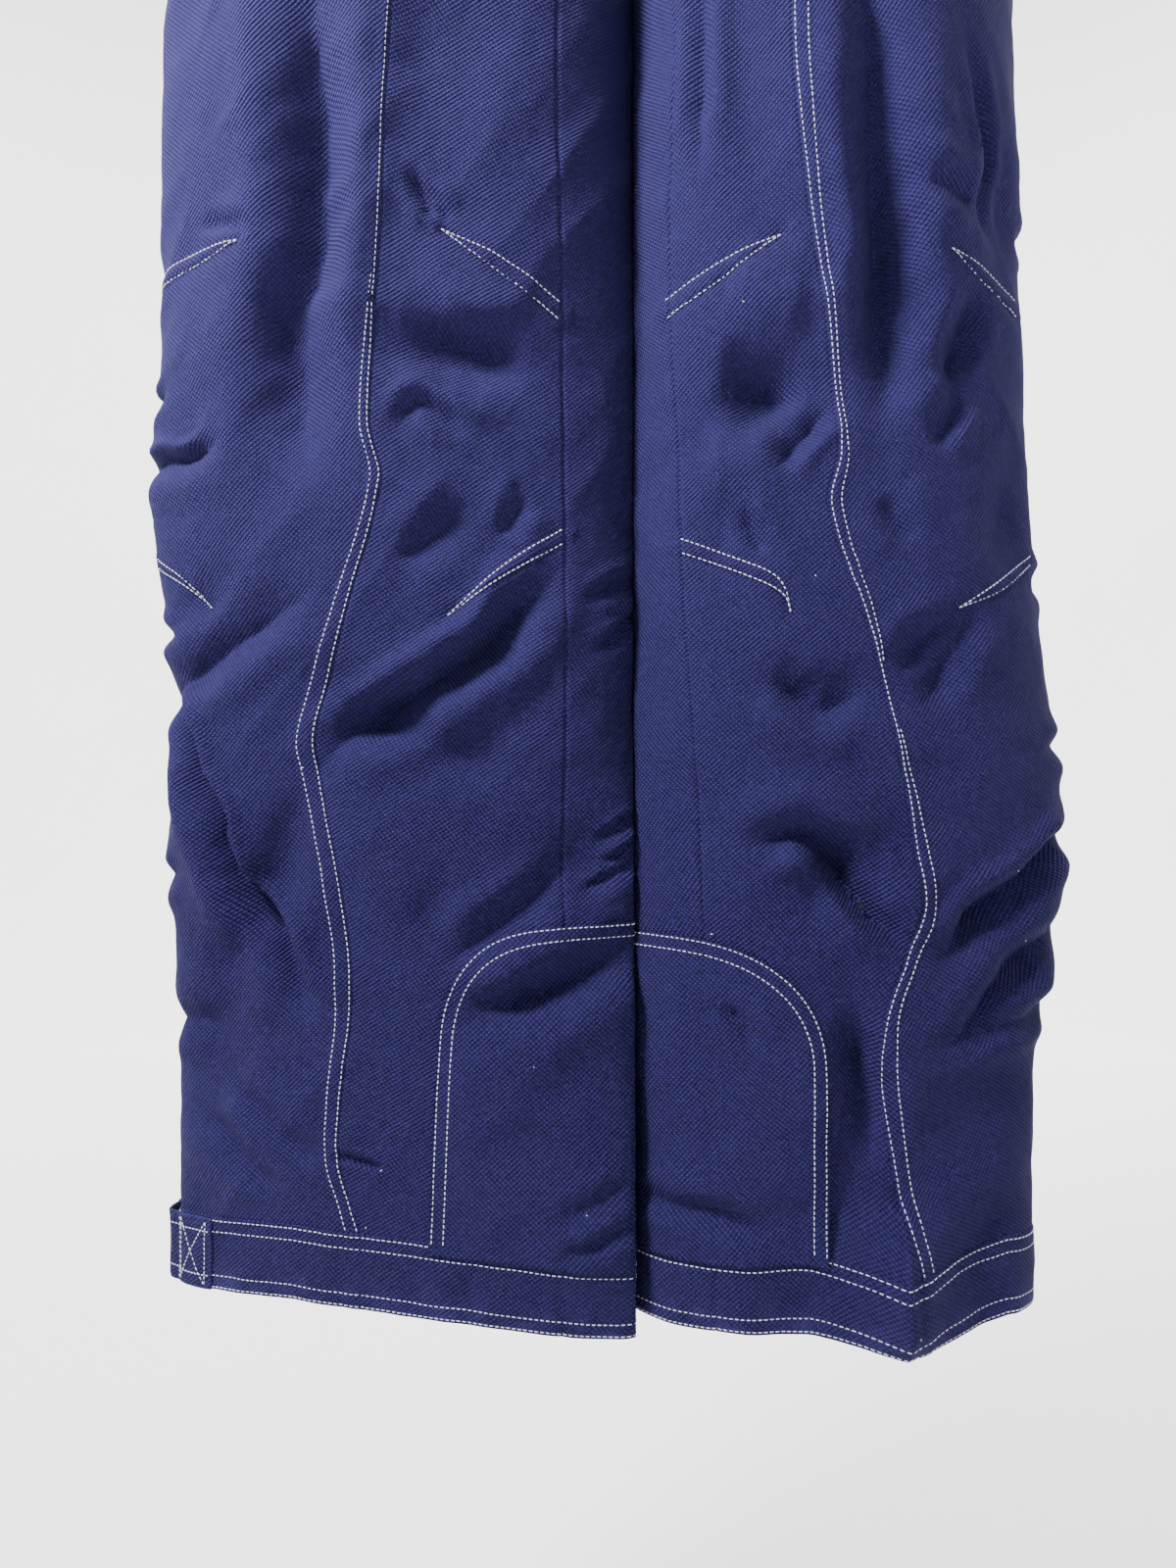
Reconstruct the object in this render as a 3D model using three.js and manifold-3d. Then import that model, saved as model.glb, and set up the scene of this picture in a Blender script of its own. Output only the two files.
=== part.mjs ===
// Insulated ski pants, hanging at full length from the waist. Millimetres, +Z up.
// The origin is at the middle of the waistband's top edge. The front faces -Y, and "right" is the
// wearer's right, at -X. Each panel is one solid that stands for shell, filling and lining together.
import * as THREE from "three";
import { mergeVertices } from "three/addons/utils/BufferGeometryUtils.js";
import Module from "manifold-3d";

const wasm = await Module();
wasm.setup();

// ---- driving dimensions ----
const LENGTH = 1090; // waistband's top edge to the hem
const BAND_HEIGHT = 38; // waistband
const HEM_HEIGHT = 41; // hem band
const CROTCH_Z = -280;
const SPLIT_Z = -205; // where the seat starts to divide into two legs
const HIP_Z = -290; // height of the hip's axis
const HIP_SPAN = 94; // half the length of cloth that folds at the hip
const KNEE_Z = -610; // height of the knee's axis
const KNEE_SPAN = 90; // half the length of cloth that folds at the knee
const CLOTH = 4; // shell, filling and lining together
const PATCH = 1.3; // one doubled layer of shell cloth
const SEAM_GAP = 0.4; // between two pieces that are sewn to each other
const LEG_GAP = 2; // from the middle plane to each leg's inner edge
const ROUNDNESS = 2.3; // exponent of the sections: 2 is an ellipse, more is boxier
const FLY_SLOT = 11; // width of the gap that the fly zip closes
const FLY_BOTTOM_Z = -186;

const HEM_Z = -LENGTH;
const SEAT_BOTTOM = HIP_Z + HIP_SPAN;
const THIGH_TOP = HIP_Z - HIP_SPAN;
const THIGH_BOTTOM = KNEE_Z + KNEE_SPAN;
const SHIN_TOP = KNEE_Z - KNEE_SPAN;
const SHIN_BOTTOM = HEM_Z + HEM_HEIGHT;
const LEAN_TOP = SHIN_TOP;

// Sizes down each side, as [height, value]. outer is the distance from the middle plane to the
// outer edge and depth is half the size from front to back. princess and inseam are how far those
// seams stand from the middle plane. hemForward is how far the whole hem stands forward, and
// hemLean how much further its inner edge does.
const RIGHT = {
  name: "right",
  side: -1,
  outer: [[0, 190], [-38, 192], [-110, 214], [-196, 240], [-340, 267], [-512, 272], [-588, 275],
    [-633, 278], [-762, 266], [-856, 268], [-928, 262], [-1090, 263]],
  depth: [[0, 60], [-38, 62], [-196, 80], [-290, 78], [-387, 70], [-520, 58], [-610, 52],
    [-800, 42], [-950, 34], [-1090, 30]],
  hemForward: 0,
  hemLean: 46,
  princess: [[-387, 131], [-491, 138], [-603, 147], [-634, 142], [-703, 162], [-772, 181],
    [-799, 178], [-853, 167], [-911, 160], [-1005, 166], [-1049, 154]],
  inseam: [[-377, 42], [-583, 39], [-1090, 39]],
};
const LEFT = {
  name: "left",
  side: 1,
  outer: [[0, 190], [-38, 192], [-110, 207], [-196, 219], [-340, 216], [-512, 221], [-656, 230],
    [-742, 238], [-793, 245], [-885, 239], [-959, 226], [-1090, 221]],
  depth: [[0, 60], [-38, 62], [-196, 80], [-290, 82], [-387, 84], [-520, 70], [-610, 62],
    [-800, 56], [-950, 52], [-1090, 52]],
  hemForward: 25,
  hemLean: 0,
  princess: [[-395, 84], [-477, 91], [-561, 104], [-621, 111], [-650, 107], [-720, 129],
    [-841, 154], [-867, 155], [-928, 134], [-984, 137], [-1049, 148]],
  inseam: [[-376, 21], [-515, 19], [-691, 27], [-831, 35], [-1090, 42]],
};
const LEGS = [RIGHT, LEFT];

const CLOTH_BLUE = 0x383d6c;
const LINING_GREY = 0x23252d;
const WEBBING_BLUE = 0x2b2f52;
const METAL_GREY = 0x55585e;

function material(color, roughness, metalness = 0) {
  return new THREE.MeshStandardMaterial({ color, roughness, metalness });
}
const SHELL = material(CLOTH_BLUE, 0.9);
const LINING = material(LINING_GREY, 0.85);
const WEBBING = material(WEBBING_BLUE, 0.8);
const TAPE = material(LINING_GREY, 0.7);
const METAL = material(METAL_GREY, 0.4, 0.8);

const pants = new THREE.Group();

function add(name, geometry, look) {
  const mesh = new THREE.Mesh(geometry, look);
  mesh.name = name;
  pants.add(mesh);
  return mesh;
}

// ---- solids: joining and cutting ----
function toSolid(geometry) {
  const bare = new THREE.BufferGeometry();
  bare.setAttribute("position", geometry.getAttribute("position"));
  bare.setIndex(geometry.getIndex());
  const merged = mergeVertices(bare, 1e-3);
  return new wasm.Manifold(
    new wasm.Mesh({
      numProp: 3,
      vertProperties: new Float32Array(merged.getAttribute("position").array),
      triVerts: new Uint32Array(merged.getIndex().array),
    }),
  );
}

function fromSolid(solid) {
  const { vertProperties, triVerts } = solid.getMesh();
  const geometry = new THREE.BufferGeometry();
  geometry.setAttribute("position", new THREE.BufferAttribute(vertProperties, 3));
  geometry.setIndex(new THREE.BufferAttribute(triVerts, 1));
  return geometry;
}

// ---- the surface of the pants ----
// Smooth value at height z through stations listed from the top down.
function smooth(stations, z) {
  const last = stations.length - 1;
  if (z >= stations[0][0]) return stations[0][1];
  if (z <= stations[last][0]) return stations[last][1];
  const i = stations.findIndex(([height]) => height <= z);
  const slope = (n) => {
    const above = stations[Math.max(n - 1, 0)];
    const below = stations[Math.min(n + 1, last)];
    return (below[1] - above[1]) / (below[0] - above[0]);
  };
  const [z0, a] = stations[i - 1];
  const [z1, b] = stations[i];
  const span = z1 - z0;
  const t = (z - z0) / span;
  const h = t * t * (3 - 2 * t);
  const lift = t * (1 - t) * span;
  return a * (1 - h) + b * h + lift * ((1 - t) * slope(i - 1) - t * slope(i));
}

function smoothstep(t) {
  const c = Math.min(Math.max(t, 0), 1);
  return c * c * (3 - 2 * c);
}

function power(value) {
  return Math.sign(value) * Math.abs(value) ** (2 / ROUNDNESS);
}

// Point of the outer face: s runs from the inner edge (0) over the front to the outer edge (1)
// and back over the rear to the inner edge (2); it may run past both ends below the crotch.
function skin(leg, s, z) {
  const outer = smooth(leg.outer, z);
  const depth = smooth(leg.depth, z);
  const legAngle = Math.PI * s;
  const width = (outer - LEG_GAP) / 2;
  const legX = LEG_GAP + width * (1 - power(Math.cos(legAngle)));
  const legY = -depth * power(Math.sin(legAngle));
  const hipAngle = (Math.PI / 2) * (s <= 1 ? s : 2 - s);
  const hipX = outer * power(Math.sin(hipAngle));
  const hipY = depth * power(Math.cos(hipAngle)) * (s <= 1 ? -1 : 1);
  const asLeg = smoothstep((SPLIT_Z - z) / (SPLIT_Z - CROTCH_Z));
  const x = hipX + (legX - hipX) * asLeg;
  const y = hipY + (legY - hipY) * asLeg;
  const droop = smoothstep((LEAN_TOP - z) / (LEAN_TOP - HEM_Z));
  const forward = droop * (leg.hemForward + leg.hemLean * (1 - x / outer));
  return new THREE.Vector3(leg.side * x, y - forward, z);
}

// Frame on the surface: origin, outward normal, across (towards greater s) and down.
function frameAt(leg, s, z) {
  const step = 1e-3;
  const origin = skin(leg, s, z);
  const across = skin(leg, s + step, z).sub(skin(leg, s - step, z)).normalize();
  const down = skin(leg, s, z - 1).sub(skin(leg, s, z + 1)).normalize();
  const normal = across.clone().cross(down).multiplyScalar(-leg.side).normalize();
  return { origin, normal, across, down };
}

// Point at a height above (+) or below (-) the outer face.
function skinPoint(leg, s, z, height) {
  const { origin, normal } = frameAt(leg, s, z);
  const flat = new THREE.Vector3(normal.x, normal.y, 0).normalize();
  return origin.addScaledVector(flat, height);
}

// The s of the point on the front that stands x from the middle plane.
function acrossTo(leg, x, z) {
  let low = 0;
  let high = 1;
  for (let i = 0; i < 24; i++) {
    const middle = (low + high) / 2;
    if (Math.abs(skin(leg, middle, z).x) < x) low = middle;
    else high = middle;
  }
  return low;
}

// A box of columns x rows cells, bent so that corner (a, b, c) in 0..1 lands on place(a, b, c).
function bentBox(columns, rows, place) {
  const geometry = new THREE.BoxGeometry(1, 1, 1, columns, rows, 1);
  const position = geometry.getAttribute("position");
  for (let i = 0; i < position.count; i++) {
    const at = place(position.getX(i) + 0.5, position.getY(i) + 0.5, position.getZ(i) + 0.5);
    position.setXYZ(i, at.x, at.y, at.z);
  }
  if (signedVolume(geometry) < 0) geometry.getIndex().array.reverse();
  return geometry;
}

function signedVolume(geometry) {
  const position = geometry.getAttribute("position");
  const index = geometry.getIndex().array;
  const [a, b, c] = [0, 1, 2].map(() => new THREE.Vector3());
  let volume = 0;
  for (let i = 0; i < index.length; i += 3) {
    a.fromBufferAttribute(position, index[i]);
    b.fromBufferAttribute(position, index[i + 1]);
    c.fromBufferAttribute(position, index[i + 2]);
    volume += a.dot(b.cross(c)) / 6;
  }
  return volume;
}

// A piece of cloth on one side of the pants. across(z) gives its two edges as s, down(s) its
// bottom and top heights, and from and to are its faces' heights above the outer face.
function panel(leg, { across, heights, from = -CLOTH, to = 0, columns, rows }) {
  return bentBox(columns, rows, (a, b, c) => {
    const [z0, z1] = heights(a);
    const z = z0 + (z1 - z0) * b;
    const [s0, s1] = across(z);
    return skinPoint(leg, s0 + (s1 - s0) * a, z, from + (to - from) * c);
  });
}

const SEAM_S = 0.0012; // half of a seam's gap, as s

// ---- seat: two fronts and two backs ----
function pocketFrame(leg) {
  const top = skinPoint(leg, 0.48, -64, 0);
  const bottom = skinPoint(leg, 0.66, -180, 0);
  return zipFrame(leg, top, bottom, skinPoint(leg, 0.57, -122, 0));
}

// Frame of a straight zip: z axis up along it, y axis into the pants, origin at its top end.
// It stands clear of the cloth, which is proud of the straight line by its bulge at middle.
function zipFrame(leg, top, bottom, middle) {
  const up = top.clone().sub(bottom).normalize();
  const chordMiddle = top.clone().add(bottom).multiplyScalar(0.5);
  const { normal } = frameAt(leg, 0.57, -122);
  const inward = normal.clone().negate();
  inward.addScaledVector(up, -inward.dot(up)).normalize();
  const sideways = inward.clone().cross(up).normalize();
  const bulge = middle.sub(chordMiddle).dot(inward.clone().negate());
  const origin = top.clone().addScaledVector(inward, -bulge);
  const matrix = new THREE.Matrix4().makeBasis(sideways, inward, up).setPosition(origin);
  return { matrix, length: top.distanceTo(bottom) };
}

const POCKET_SLOT = 10;

function pocketSlotCutter({ matrix, length }) {
  const cutter = new THREE.BoxGeometry(POCKET_SLOT, 60, length);
  cutter.translate(0, 0, -length / 2);
  cutter.applyMatrix4(matrix);
  return toSolid(cutter);
}

function addSeat(leg) {
  const top = -BAND_HEIGHT - SEAM_GAP;
  const heights = () => [SEAT_BOTTOM, top];
  const front = panel(leg, {
    across: (z) => [acrossTo(leg, z > FLY_BOTTOM_Z - 12 ? FLY_SLOT / 2 : SEAM_GAP, z), 1 - SEAM_S],
    heights,
    columns: 12,
    rows: 6,
  });
  const cut = toSolid(front).subtract(pocketSlotCutter(pocketFrame(leg)));
  add(`${leg.name}_seat_front`, fromSolid(cut), SHELL);
  const back = panel(leg, {
    across: () => [1 + SEAM_S, 2 - SEAM_S],
    heights,
    columns: 12,
    rows: 5,
  });
  add(`${leg.name}_seat_back`, back, SHELL);
}

// ---- cloth that folds at the hip and at the knee ----
function addFold(leg, name, bottom, top, rows) {
  const fold = panel(leg, {
    across: () => [SEAM_S, 2 - SEAM_S],
    heights: () => [bottom + SEAM_GAP, top - SEAM_GAP],
    columns: 20,
    rows,
  });
  add(`${leg.name}_${name}`, fold, SHELL);
}

// ---- thigh and shin: side front, centre front and back ----
function addTube(leg, part, bottom, top, rows) {
  const heights = () => [bottom, top];
  const princess = (z) => acrossTo(leg, smooth(leg.princess, z), z);
  const inseam = (z) => acrossTo(leg, smooth(leg.inseam, z), z);
  const pieces = {
    side_front: [(z) => [princess(z) + SEAM_S, 1 - SEAM_S], 7],
    centre_front: [(z) => [inseam(z) + SEAM_S, princess(z) - SEAM_S], 5],
    back: [(z) => [1 + SEAM_S, 2 + inseam(z) - SEAM_S], 16],
  };
  for (const [piece, [across, columns]] of Object.entries(pieces))
    add(`${leg.name}_${part}_${piece}`, panel(leg, { across, heights, columns, rows }), SHELL);
}

// ---- ankle ----
const GUARD_TOP = HEM_Z + 214;
const GUARD_SHOULDER = HEM_Z + 150; // where the guard's arched top meets its straight sides
const GUARD_FRONT_X = 106;
const GUARD_LIFT = 0.9; // clear of the panels' facets round the inner edge
const STRAP_WIDTH = HEM_HEIGHT - 1;
const STRAP_TOP = SHIN_BOTTOM - 0.5;
const GAITER_TOP = HEM_Z + 200;
const GAITER_BOTTOM = HEM_Z + 46;

function addScuffGuard(leg) {
  const front = acrossTo(leg, GUARD_FRONT_X, GUARD_SHOULDER);
  const rear = -front * 0.8;
  const rise = GUARD_TOP - GUARD_SHOULDER;
  const guard = panel(leg, {
    across: () => [rear, front],
    heights: (a) => [SHIN_BOTTOM + SEAM_GAP, GUARD_SHOULDER + rise * arch(2 * a - 1)],
    from: GUARD_LIFT,
    to: GUARD_LIFT + PATCH,
    columns: 16,
    rows: 4,
  });
  add(`${leg.name}_scuff_guard`, guard, SHELL);
}

// Height, from 0 to 1, of an arch with full shoulders over -1..1.
function arch(x) {
  return (1 - Math.abs(x) ** 3) ** (1 / 2);
}

function addHemBand(leg) {
  const band = panel(leg, {
    across: () => [SEAM_S, 2 - SEAM_S],
    heights: () => [HEM_Z, SHIN_BOTTOM - SEAM_GAP],
    from: -CLOTH - 1,
    columns: 26,
    rows: 1,
  });
  add(`${leg.name}_hem_band`, band, SHELL);
}

// The strap is sewn down near the outer edge (s, from and to), stands off the leg as a loop and
// grips a patch behind it.
const STRAP_SEWN = { right: [0.82, 0.995], left: [1.06, 1.19] };
const STRAP_SPAN = 0.36;
const STRAP_STAND_OFF = 9;

function addHemStrap(leg) {
  const [from, to] = STRAP_SEWN[leg.name];
  const heights = () => [STRAP_TOP - STRAP_WIDTH, STRAP_TOP];
  const anchor = panel(leg, {
    across: () => [from, to],
    heights,
    from: SEAM_GAP,
    to: SEAM_GAP + 2,
    columns: 5,
    rows: 1,
  });
  add(`${leg.name}_hem_strap_anchor`, anchor, SHELL);
  const patch = panel(leg, {
    across: () => [to + 0.24, to + 0.42],
    heights: () => [STRAP_TOP - STRAP_WIDTH + 5, STRAP_TOP - 5],
    from: SEAM_GAP,
    to: SEAM_GAP + 1.2,
    columns: 5,
    rows: 1,
  });
  add(`${leg.name}_hem_strap_patch`, patch, WEBBING);
  const strap = bentBox(16, 1, (a, b, c) => {
    const standOff = 2 + STRAP_STAND_OFF * Math.sin(Math.PI * Math.min(a / 0.5, 1)) ** 2;
    const z = STRAP_TOP - STRAP_WIDTH * (1 - b);
    return skinPoint(leg, to + 0.01 + STRAP_SPAN * a, z, standOff + 2 * c);
  });
  add(`${leg.name}_hem_strap`, strap, SHELL);
}

function addGaiter(leg) {
  const across = () => [SEAM_S, 2 - SEAM_S];
  const sleeve = panel(leg, {
    across,
    heights: () => [GAITER_BOTTOM + SEAM_GAP, GAITER_TOP],
    from: -7.5,
    to: -6,
    columns: 20,
    rows: 2,
  });
  add(`${leg.name}_snow_gaiter`, sleeve, LINING);
  const elastic = panel(leg, {
    across,
    heights: () => [HEM_Z + 24, GAITER_BOTTOM],
    from: -9,
    to: -6.5,
    columns: 20,
    rows: 1,
  });
  add(`${leg.name}_gaiter_elastic`, elastic, WEBBING);
}

// ---- waist ----
// Point round the whole waist: turn runs from the middle of the front, over the right side (0..2)
// and back over the left side (2..4).
function waistPoint(turn, z, height) {
  return turn <= 2 ? skinPoint(RIGHT, turn, z, height) : skinPoint(LEFT, 4 - turn, z, height);
}

function addWaistband() {
  const gap = acrossTo(RIGHT, FLY_SLOT / 2, -BAND_HEIGHT / 2);
  const band = bentBox(36, 1, (a, b, c) => {
    const turn = gap + (4 - 2 * gap) * a;
    return waistPoint(turn, -BAND_HEIGHT * (1 - b), -CLOTH * (1 - c));
  });
  add("waistband", band, SHELL);
}

const TAB_TOP = -2;
const TAB_BOTTOM = -36;
const TAB_LEFT_X = 30;
const TAB_RIGHT_X = 42;
const SNAP_X = 28;

// The tab lies over the closed waistband, from its sewn end on the left to its free end.
function addWaistTab() {
  const left = acrossTo(LEFT, TAB_LEFT_X, -BAND_HEIGHT / 2);
  const right = acrossTo(RIGHT, TAB_RIGHT_X, -BAND_HEIGHT / 2);
  const tab = bentBox(10, 1, (a, b, c) => {
    const turn = -left + (left + right) * a;
    const leg = turn < 0 ? LEFT : RIGHT;
    return skinPoint(leg, Math.abs(turn), TAB_BOTTOM + (TAB_TOP - TAB_BOTTOM) * b, 2.6 + 2 * c);
  });
  add("waist_tab", tab, SHELL);
  addDisc("waist_snap_stud", 6, 1.5, 0.5);
  addDisc("waist_snap_cap", 7.5, 1.6, 5.1);
}

// A round piece of the snap, lying on the right front of the waistband.
function addDisc(name, radius, thickness, height) {
  const disc = new THREE.CylinderGeometry(radius, radius, thickness, 24);
  const s = acrossTo(RIGHT, SNAP_X, -BAND_HEIGHT / 2);
  const { origin, normal } = frameAt(RIGHT, s, -BAND_HEIGHT / 2);
  const mesh = add(name, disc, METAL);
  mesh.quaternion.setFromUnitVectors(new THREE.Vector3(0, 1, 0), normal);
  mesh.position.copy(origin).addScaledVector(normal, height + thickness / 2);
}

const LOOP_WIDTH = 11;
const LOOP_HEIGHT = 35;
const LOOP_CLOTH = 1.8;
const LOOP_STAND_OFF = 6.5;
const LOOP_FOOT = 5;

// A belt loop: a strip with its two ends sewn flat and its middle standing off the waistband.
function beltLoopShape() {
  const half = LOOP_HEIGHT / 2;
  const bend = half - LOOP_FOOT;
  const far = LOOP_STAND_OFF + LOOP_CLOTH;
  const ramp = 2.5;
  const shape = new THREE.Shape();
  shape.moveTo(-half, 0);
  shape.lineTo(-bend, 0);
  shape.lineTo(-bend + ramp, LOOP_STAND_OFF);
  shape.lineTo(bend - ramp, LOOP_STAND_OFF);
  shape.lineTo(bend, 0);
  shape.lineTo(half, 0);
  shape.lineTo(half, LOOP_CLOTH);
  shape.lineTo(bend + 1.2, LOOP_CLOTH);
  shape.lineTo(bend - ramp + 1.2, far);
  shape.lineTo(-bend + ramp - 1.2, far);
  shape.lineTo(-bend - 1.2, LOOP_CLOTH);
  shape.lineTo(-half, LOOP_CLOTH);
  return shape;
}

const BELT_LOOPS = {
  belt_loop_right_front: 0.46,
  belt_loop_right_rear: 1.54,
  belt_loop_centre_back: 1.999,
  belt_loop_left_rear: 2.46,
  belt_loop_left_front: 3.54,
};

function addBeltLoops() {
  for (const [name, turn] of Object.entries(BELT_LOOPS)) {
    const z = -BAND_HEIGHT / 2;
    const strip = new THREE.ExtrudeGeometry(beltLoopShape(), {
      depth: LOOP_WIDTH,
      bevelEnabled: false,
    });
    strip.translate(0, 0, -LOOP_WIDTH / 2);
    const leg = turn <= 2 ? RIGHT : LEFT;
    const { origin, normal } = frameAt(leg, turn <= 2 ? turn : 4 - turn, z);
    const flat = new THREE.Vector3(normal.x, normal.y, 0).normalize();
    const up = new THREE.Vector3(0, 0, 1);
    const basis = new THREE.Matrix4().makeBasis(up, flat, up.clone().cross(flat));
    strip.applyMatrix4(basis.setPosition(origin.addScaledVector(flat, 2.2)));
    add(name, strip, SHELL);
  }
}

// ---- zips: tapes and teeth, slider and puller, all in the zip's own frame ----
const TAPE_WIDTH = 11;
const TAPE_THICKNESS = 0.9;
const TEETH_WIDTH = 2.6;
const TEETH_THICKNESS = 2.2;
const TEETH_GAP = 0.7; // from the middle to each row of teeth
const PLATE = { width: 8.4, height: 11, thickness: 1.1 };
const PLATE_GAP = 0.35; // between the teeth and the slider's plates
const PIN_RADIUS = 0.8;
const PIN_REACH = 2.2; // from the slider's front plate to the pin
const PULLER = { width: 6, length: 27, thickness: 1.4, eye: 1.6 };

function boxAt(width, depth, height, x, y, z) {
  return toSolid(new THREE.BoxGeometry(width, depth, height).translate(x, y, z));
}

// Two tapes with their teeth, joined by the stop at the bottom, and at the top if it is closed.
function zipTapes(length, closedTop) {
  const inner = TEETH_GAP;
  const stop = 3;
  let tapes = boxAt(2 * TAPE_WIDTH, TAPE_THICKNESS, stop, 0, 0, stop / 2 - length);
  if (closedTop) tapes = tapes.add(boxAt(2 * TAPE_WIDTH, TAPE_THICKNESS, stop, 0, 0, -stop / 2));
  for (const side of [-1, 1]) {
    const width = TAPE_WIDTH - inner;
    tapes = tapes
      .add(boxAt(width, TAPE_THICKNESS, length, side * (inner + width / 2), 0, -length / 2))
      .add(boxAt(TEETH_WIDTH, TEETH_THICKNESS, length - 2 * stop,
        side * (inner + TEETH_WIDTH / 2), 0, -length / 2));
  }
  return fromSolid(tapes);
}

// The slider: two plates joined by a web between the rows of teeth, and a pin for the puller.
function zipSlider() {
  const { width, height, thickness } = PLATE;
  const reach = TEETH_THICKNESS / 2 + PLATE_GAP;
  const front = -reach - thickness;
  const earHeight = 3.2;
  let slider = boxAt(width, thickness, height, 0, front + thickness / 2, 0)
    .add(boxAt(width, thickness, height, 0, reach + thickness / 2, 0))
    .add(boxAt(0.7, 2 * reach + thickness, height * 0.6, 0, 0, 0));
  for (const side of [-1, 1])
    slider = slider.add(boxAt(1.2, earHeight + 0.2, 3.6, side * 3, front - earHeight / 2 + 0.1, 2));
  const pin = new THREE.CylinderGeometry(PIN_RADIUS, PIN_RADIUS, 6.2, 16);
  pin.rotateZ(Math.PI / 2).translate(0, front - PIN_REACH, 2);
  return { geometry: fromSolid(slider.add(toSolid(pin))), pinY: front - PIN_REACH, pinZ: 2 };
}

// The puller: a flat tongue with an eye round the slider's pin.
function zipPuller(pinY, pinZ) {
  const { eye } = PULLER;
  const half = PULLER.width / 2;
  const outline = new THREE.Shape();
  outline.absarc(0, 0, eye, Math.PI, 0, true);
  outline.lineTo(1.2, -4);
  outline.lineTo(half, -7);
  outline.lineTo(half, -PULLER.length + half);
  outline.absarc(0, -PULLER.length + half, half, 0, Math.PI, true);
  outline.lineTo(-half, -7);
  outline.lineTo(-1.2, -4);
  const tongue = toSolid(new THREE.ExtrudeGeometry(outline, {
    depth: PULLER.thickness,
    bevelEnabled: false,
    curveSegments: 10,
  }).rotateX(Math.PI / 2).translate(0, PULLER.thickness / 2, 0));
  const neck = toSolid(new THREE.CylinderGeometry(eye, eye, 3.4, 16).rotateZ(Math.PI / 2));
  const hole = new THREE.CylinderGeometry(PIN_RADIUS + 0.3, PIN_RADIUS + 0.3, 8, 16);
  const drill = toSolid(hole.rotateZ(Math.PI / 2));
  return fromSolid(tongue.add(neck).subtract(drill)).translate(0, pinY, pinZ);
}

function addZip(name, { matrix, length }, { depth, closedTop }) {
  const place = matrix.clone().multiply(new THREE.Matrix4().makeTranslation(0, depth, 0));
  add(`${name}_zip`, zipTapes(length, closedTop).applyMatrix4(place), TAPE);
  const start = place.clone().multiply(new THREE.Matrix4().makeTranslation(0, 0, -11));
  const { geometry, pinY, pinZ } = zipSlider();
  add(`${name}_slider`, geometry.applyMatrix4(start), METAL);
  add(`${name}_puller`, zipPuller(pinY, pinZ).applyMatrix4(start), METAL);
}

// ---- fly: the zip stands in the slot between the two fronts, with a shield behind it ----
function flyFrame() {
  const top = skin(RIGHT, 0, -BAND_HEIGHT - 4);
  const bottom = skin(RIGHT, 0, FLY_BOTTOM_Z);
  const up = top.clone().sub(bottom).normalize();
  const sideways = new THREE.Vector3(1, 0, 0);
  const inward = up.clone().cross(sideways);
  const matrix = new THREE.Matrix4().makeBasis(sideways, inward, up).setPosition(top);
  return { matrix, length: top.distanceTo(bottom) };
}

const FLY_ZIP_DEPTH = CLOTH + 1.7;

function addFly() {
  const frame = flyFrame();
  addZip("fly", frame, { depth: FLY_ZIP_DEPTH, closedTop: false });
  const shield = new THREE.BoxGeometry(52, 1.5, frame.length);
  shield.translate(0, FLY_ZIP_DEPTH + 4.4, -frame.length / 2).applyMatrix4(frame.matrix);
  add("fly_shield", shield, LINING);
}

// ---- hand pockets: welt, zip and bag ----
const WELT_WIDTH = 26;
const WELT_LIFT = 2.7; // over the seat front, with the zip's tape between them
const POCKET_ZIP_LIFT = 1.1;
const BAG = {
  innerS: 0.27,
  outerS: 0.74,
  top: -52,
  bottom: -190,
  depth: CLOTH + 2,
  room: 14,
  cloth: 1.2,
  mouth: 7,
};

function addPocket(leg) {
  const frame = pocketFrame(leg);
  const { matrix, length } = frame;
  const welt = boxAt(WELT_WIDTH, 1.4, length + 16, 0, 0, -length / 2)
    .subtract(boxAt(POCKET_SLOT, 8, length, 0, 0, -length / 2));
  const placed = fromSolid(welt).translate(0, -WELT_LIFT, 0).applyMatrix4(matrix);
  add(`${leg.name}_pocket_welt`, placed, SHELL);
  addZip(`${leg.name}_pocket`, frame, { depth: -POCKET_ZIP_LIFT, closedTop: true });
  addPocketBag(leg, frame);
}

// The bag hangs inside the seat front: a pouch that follows it, open at its mouth behind the zip.
function addPocketBag(leg, { matrix, length }) {
  const { innerS, outerS, top, bottom, depth, room, cloth } = BAG;
  const wallS = 0.008;
  const pouch = (edge, wall) =>
    panel(leg, {
      across: () => [innerS + edge, outerS - edge],
      heights: () => [bottom + wall, top - wall],
      from: wall - depth - room - 2 * cloth,
      to: -depth - wall,
      columns: 9,
      rows: 3,
    });
  const mouth = new THREE.BoxGeometry(BAG.mouth, depth + room, length - 10);
  mouth.translate(0, CLOTH + (depth + room) / 2, -length / 2).applyMatrix4(matrix);
  const bag = toSolid(pouch(0, 0)).subtract(toSolid(pouch(wallS, cloth))).subtract(toSolid(mouth));
  add(`${leg.name}_pocket_bag`, fromSolid(bag), LINING);
}

// ---- the whole object ----
for (const leg of LEGS) {
  addSeat(leg);
  addFold(leg, "hip_fold", THIGH_TOP, SEAT_BOTTOM, 6);
  addTube(leg, "thigh", THIGH_BOTTOM, THIGH_TOP, 3);
  addFold(leg, "knee_fold", SHIN_TOP, THIGH_BOTTOM, 4);
  addTube(leg, "shin", SHIN_BOTTOM, SHIN_TOP, 7);
  addScuffGuard(leg);
  addHemBand(leg);
  addHemStrap(leg);
  addGaiter(leg);
  addPocket(leg);
}
addWaistband();
addWaistTab();
addBeltLoops();
addFly();

export default pants;
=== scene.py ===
import math

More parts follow.
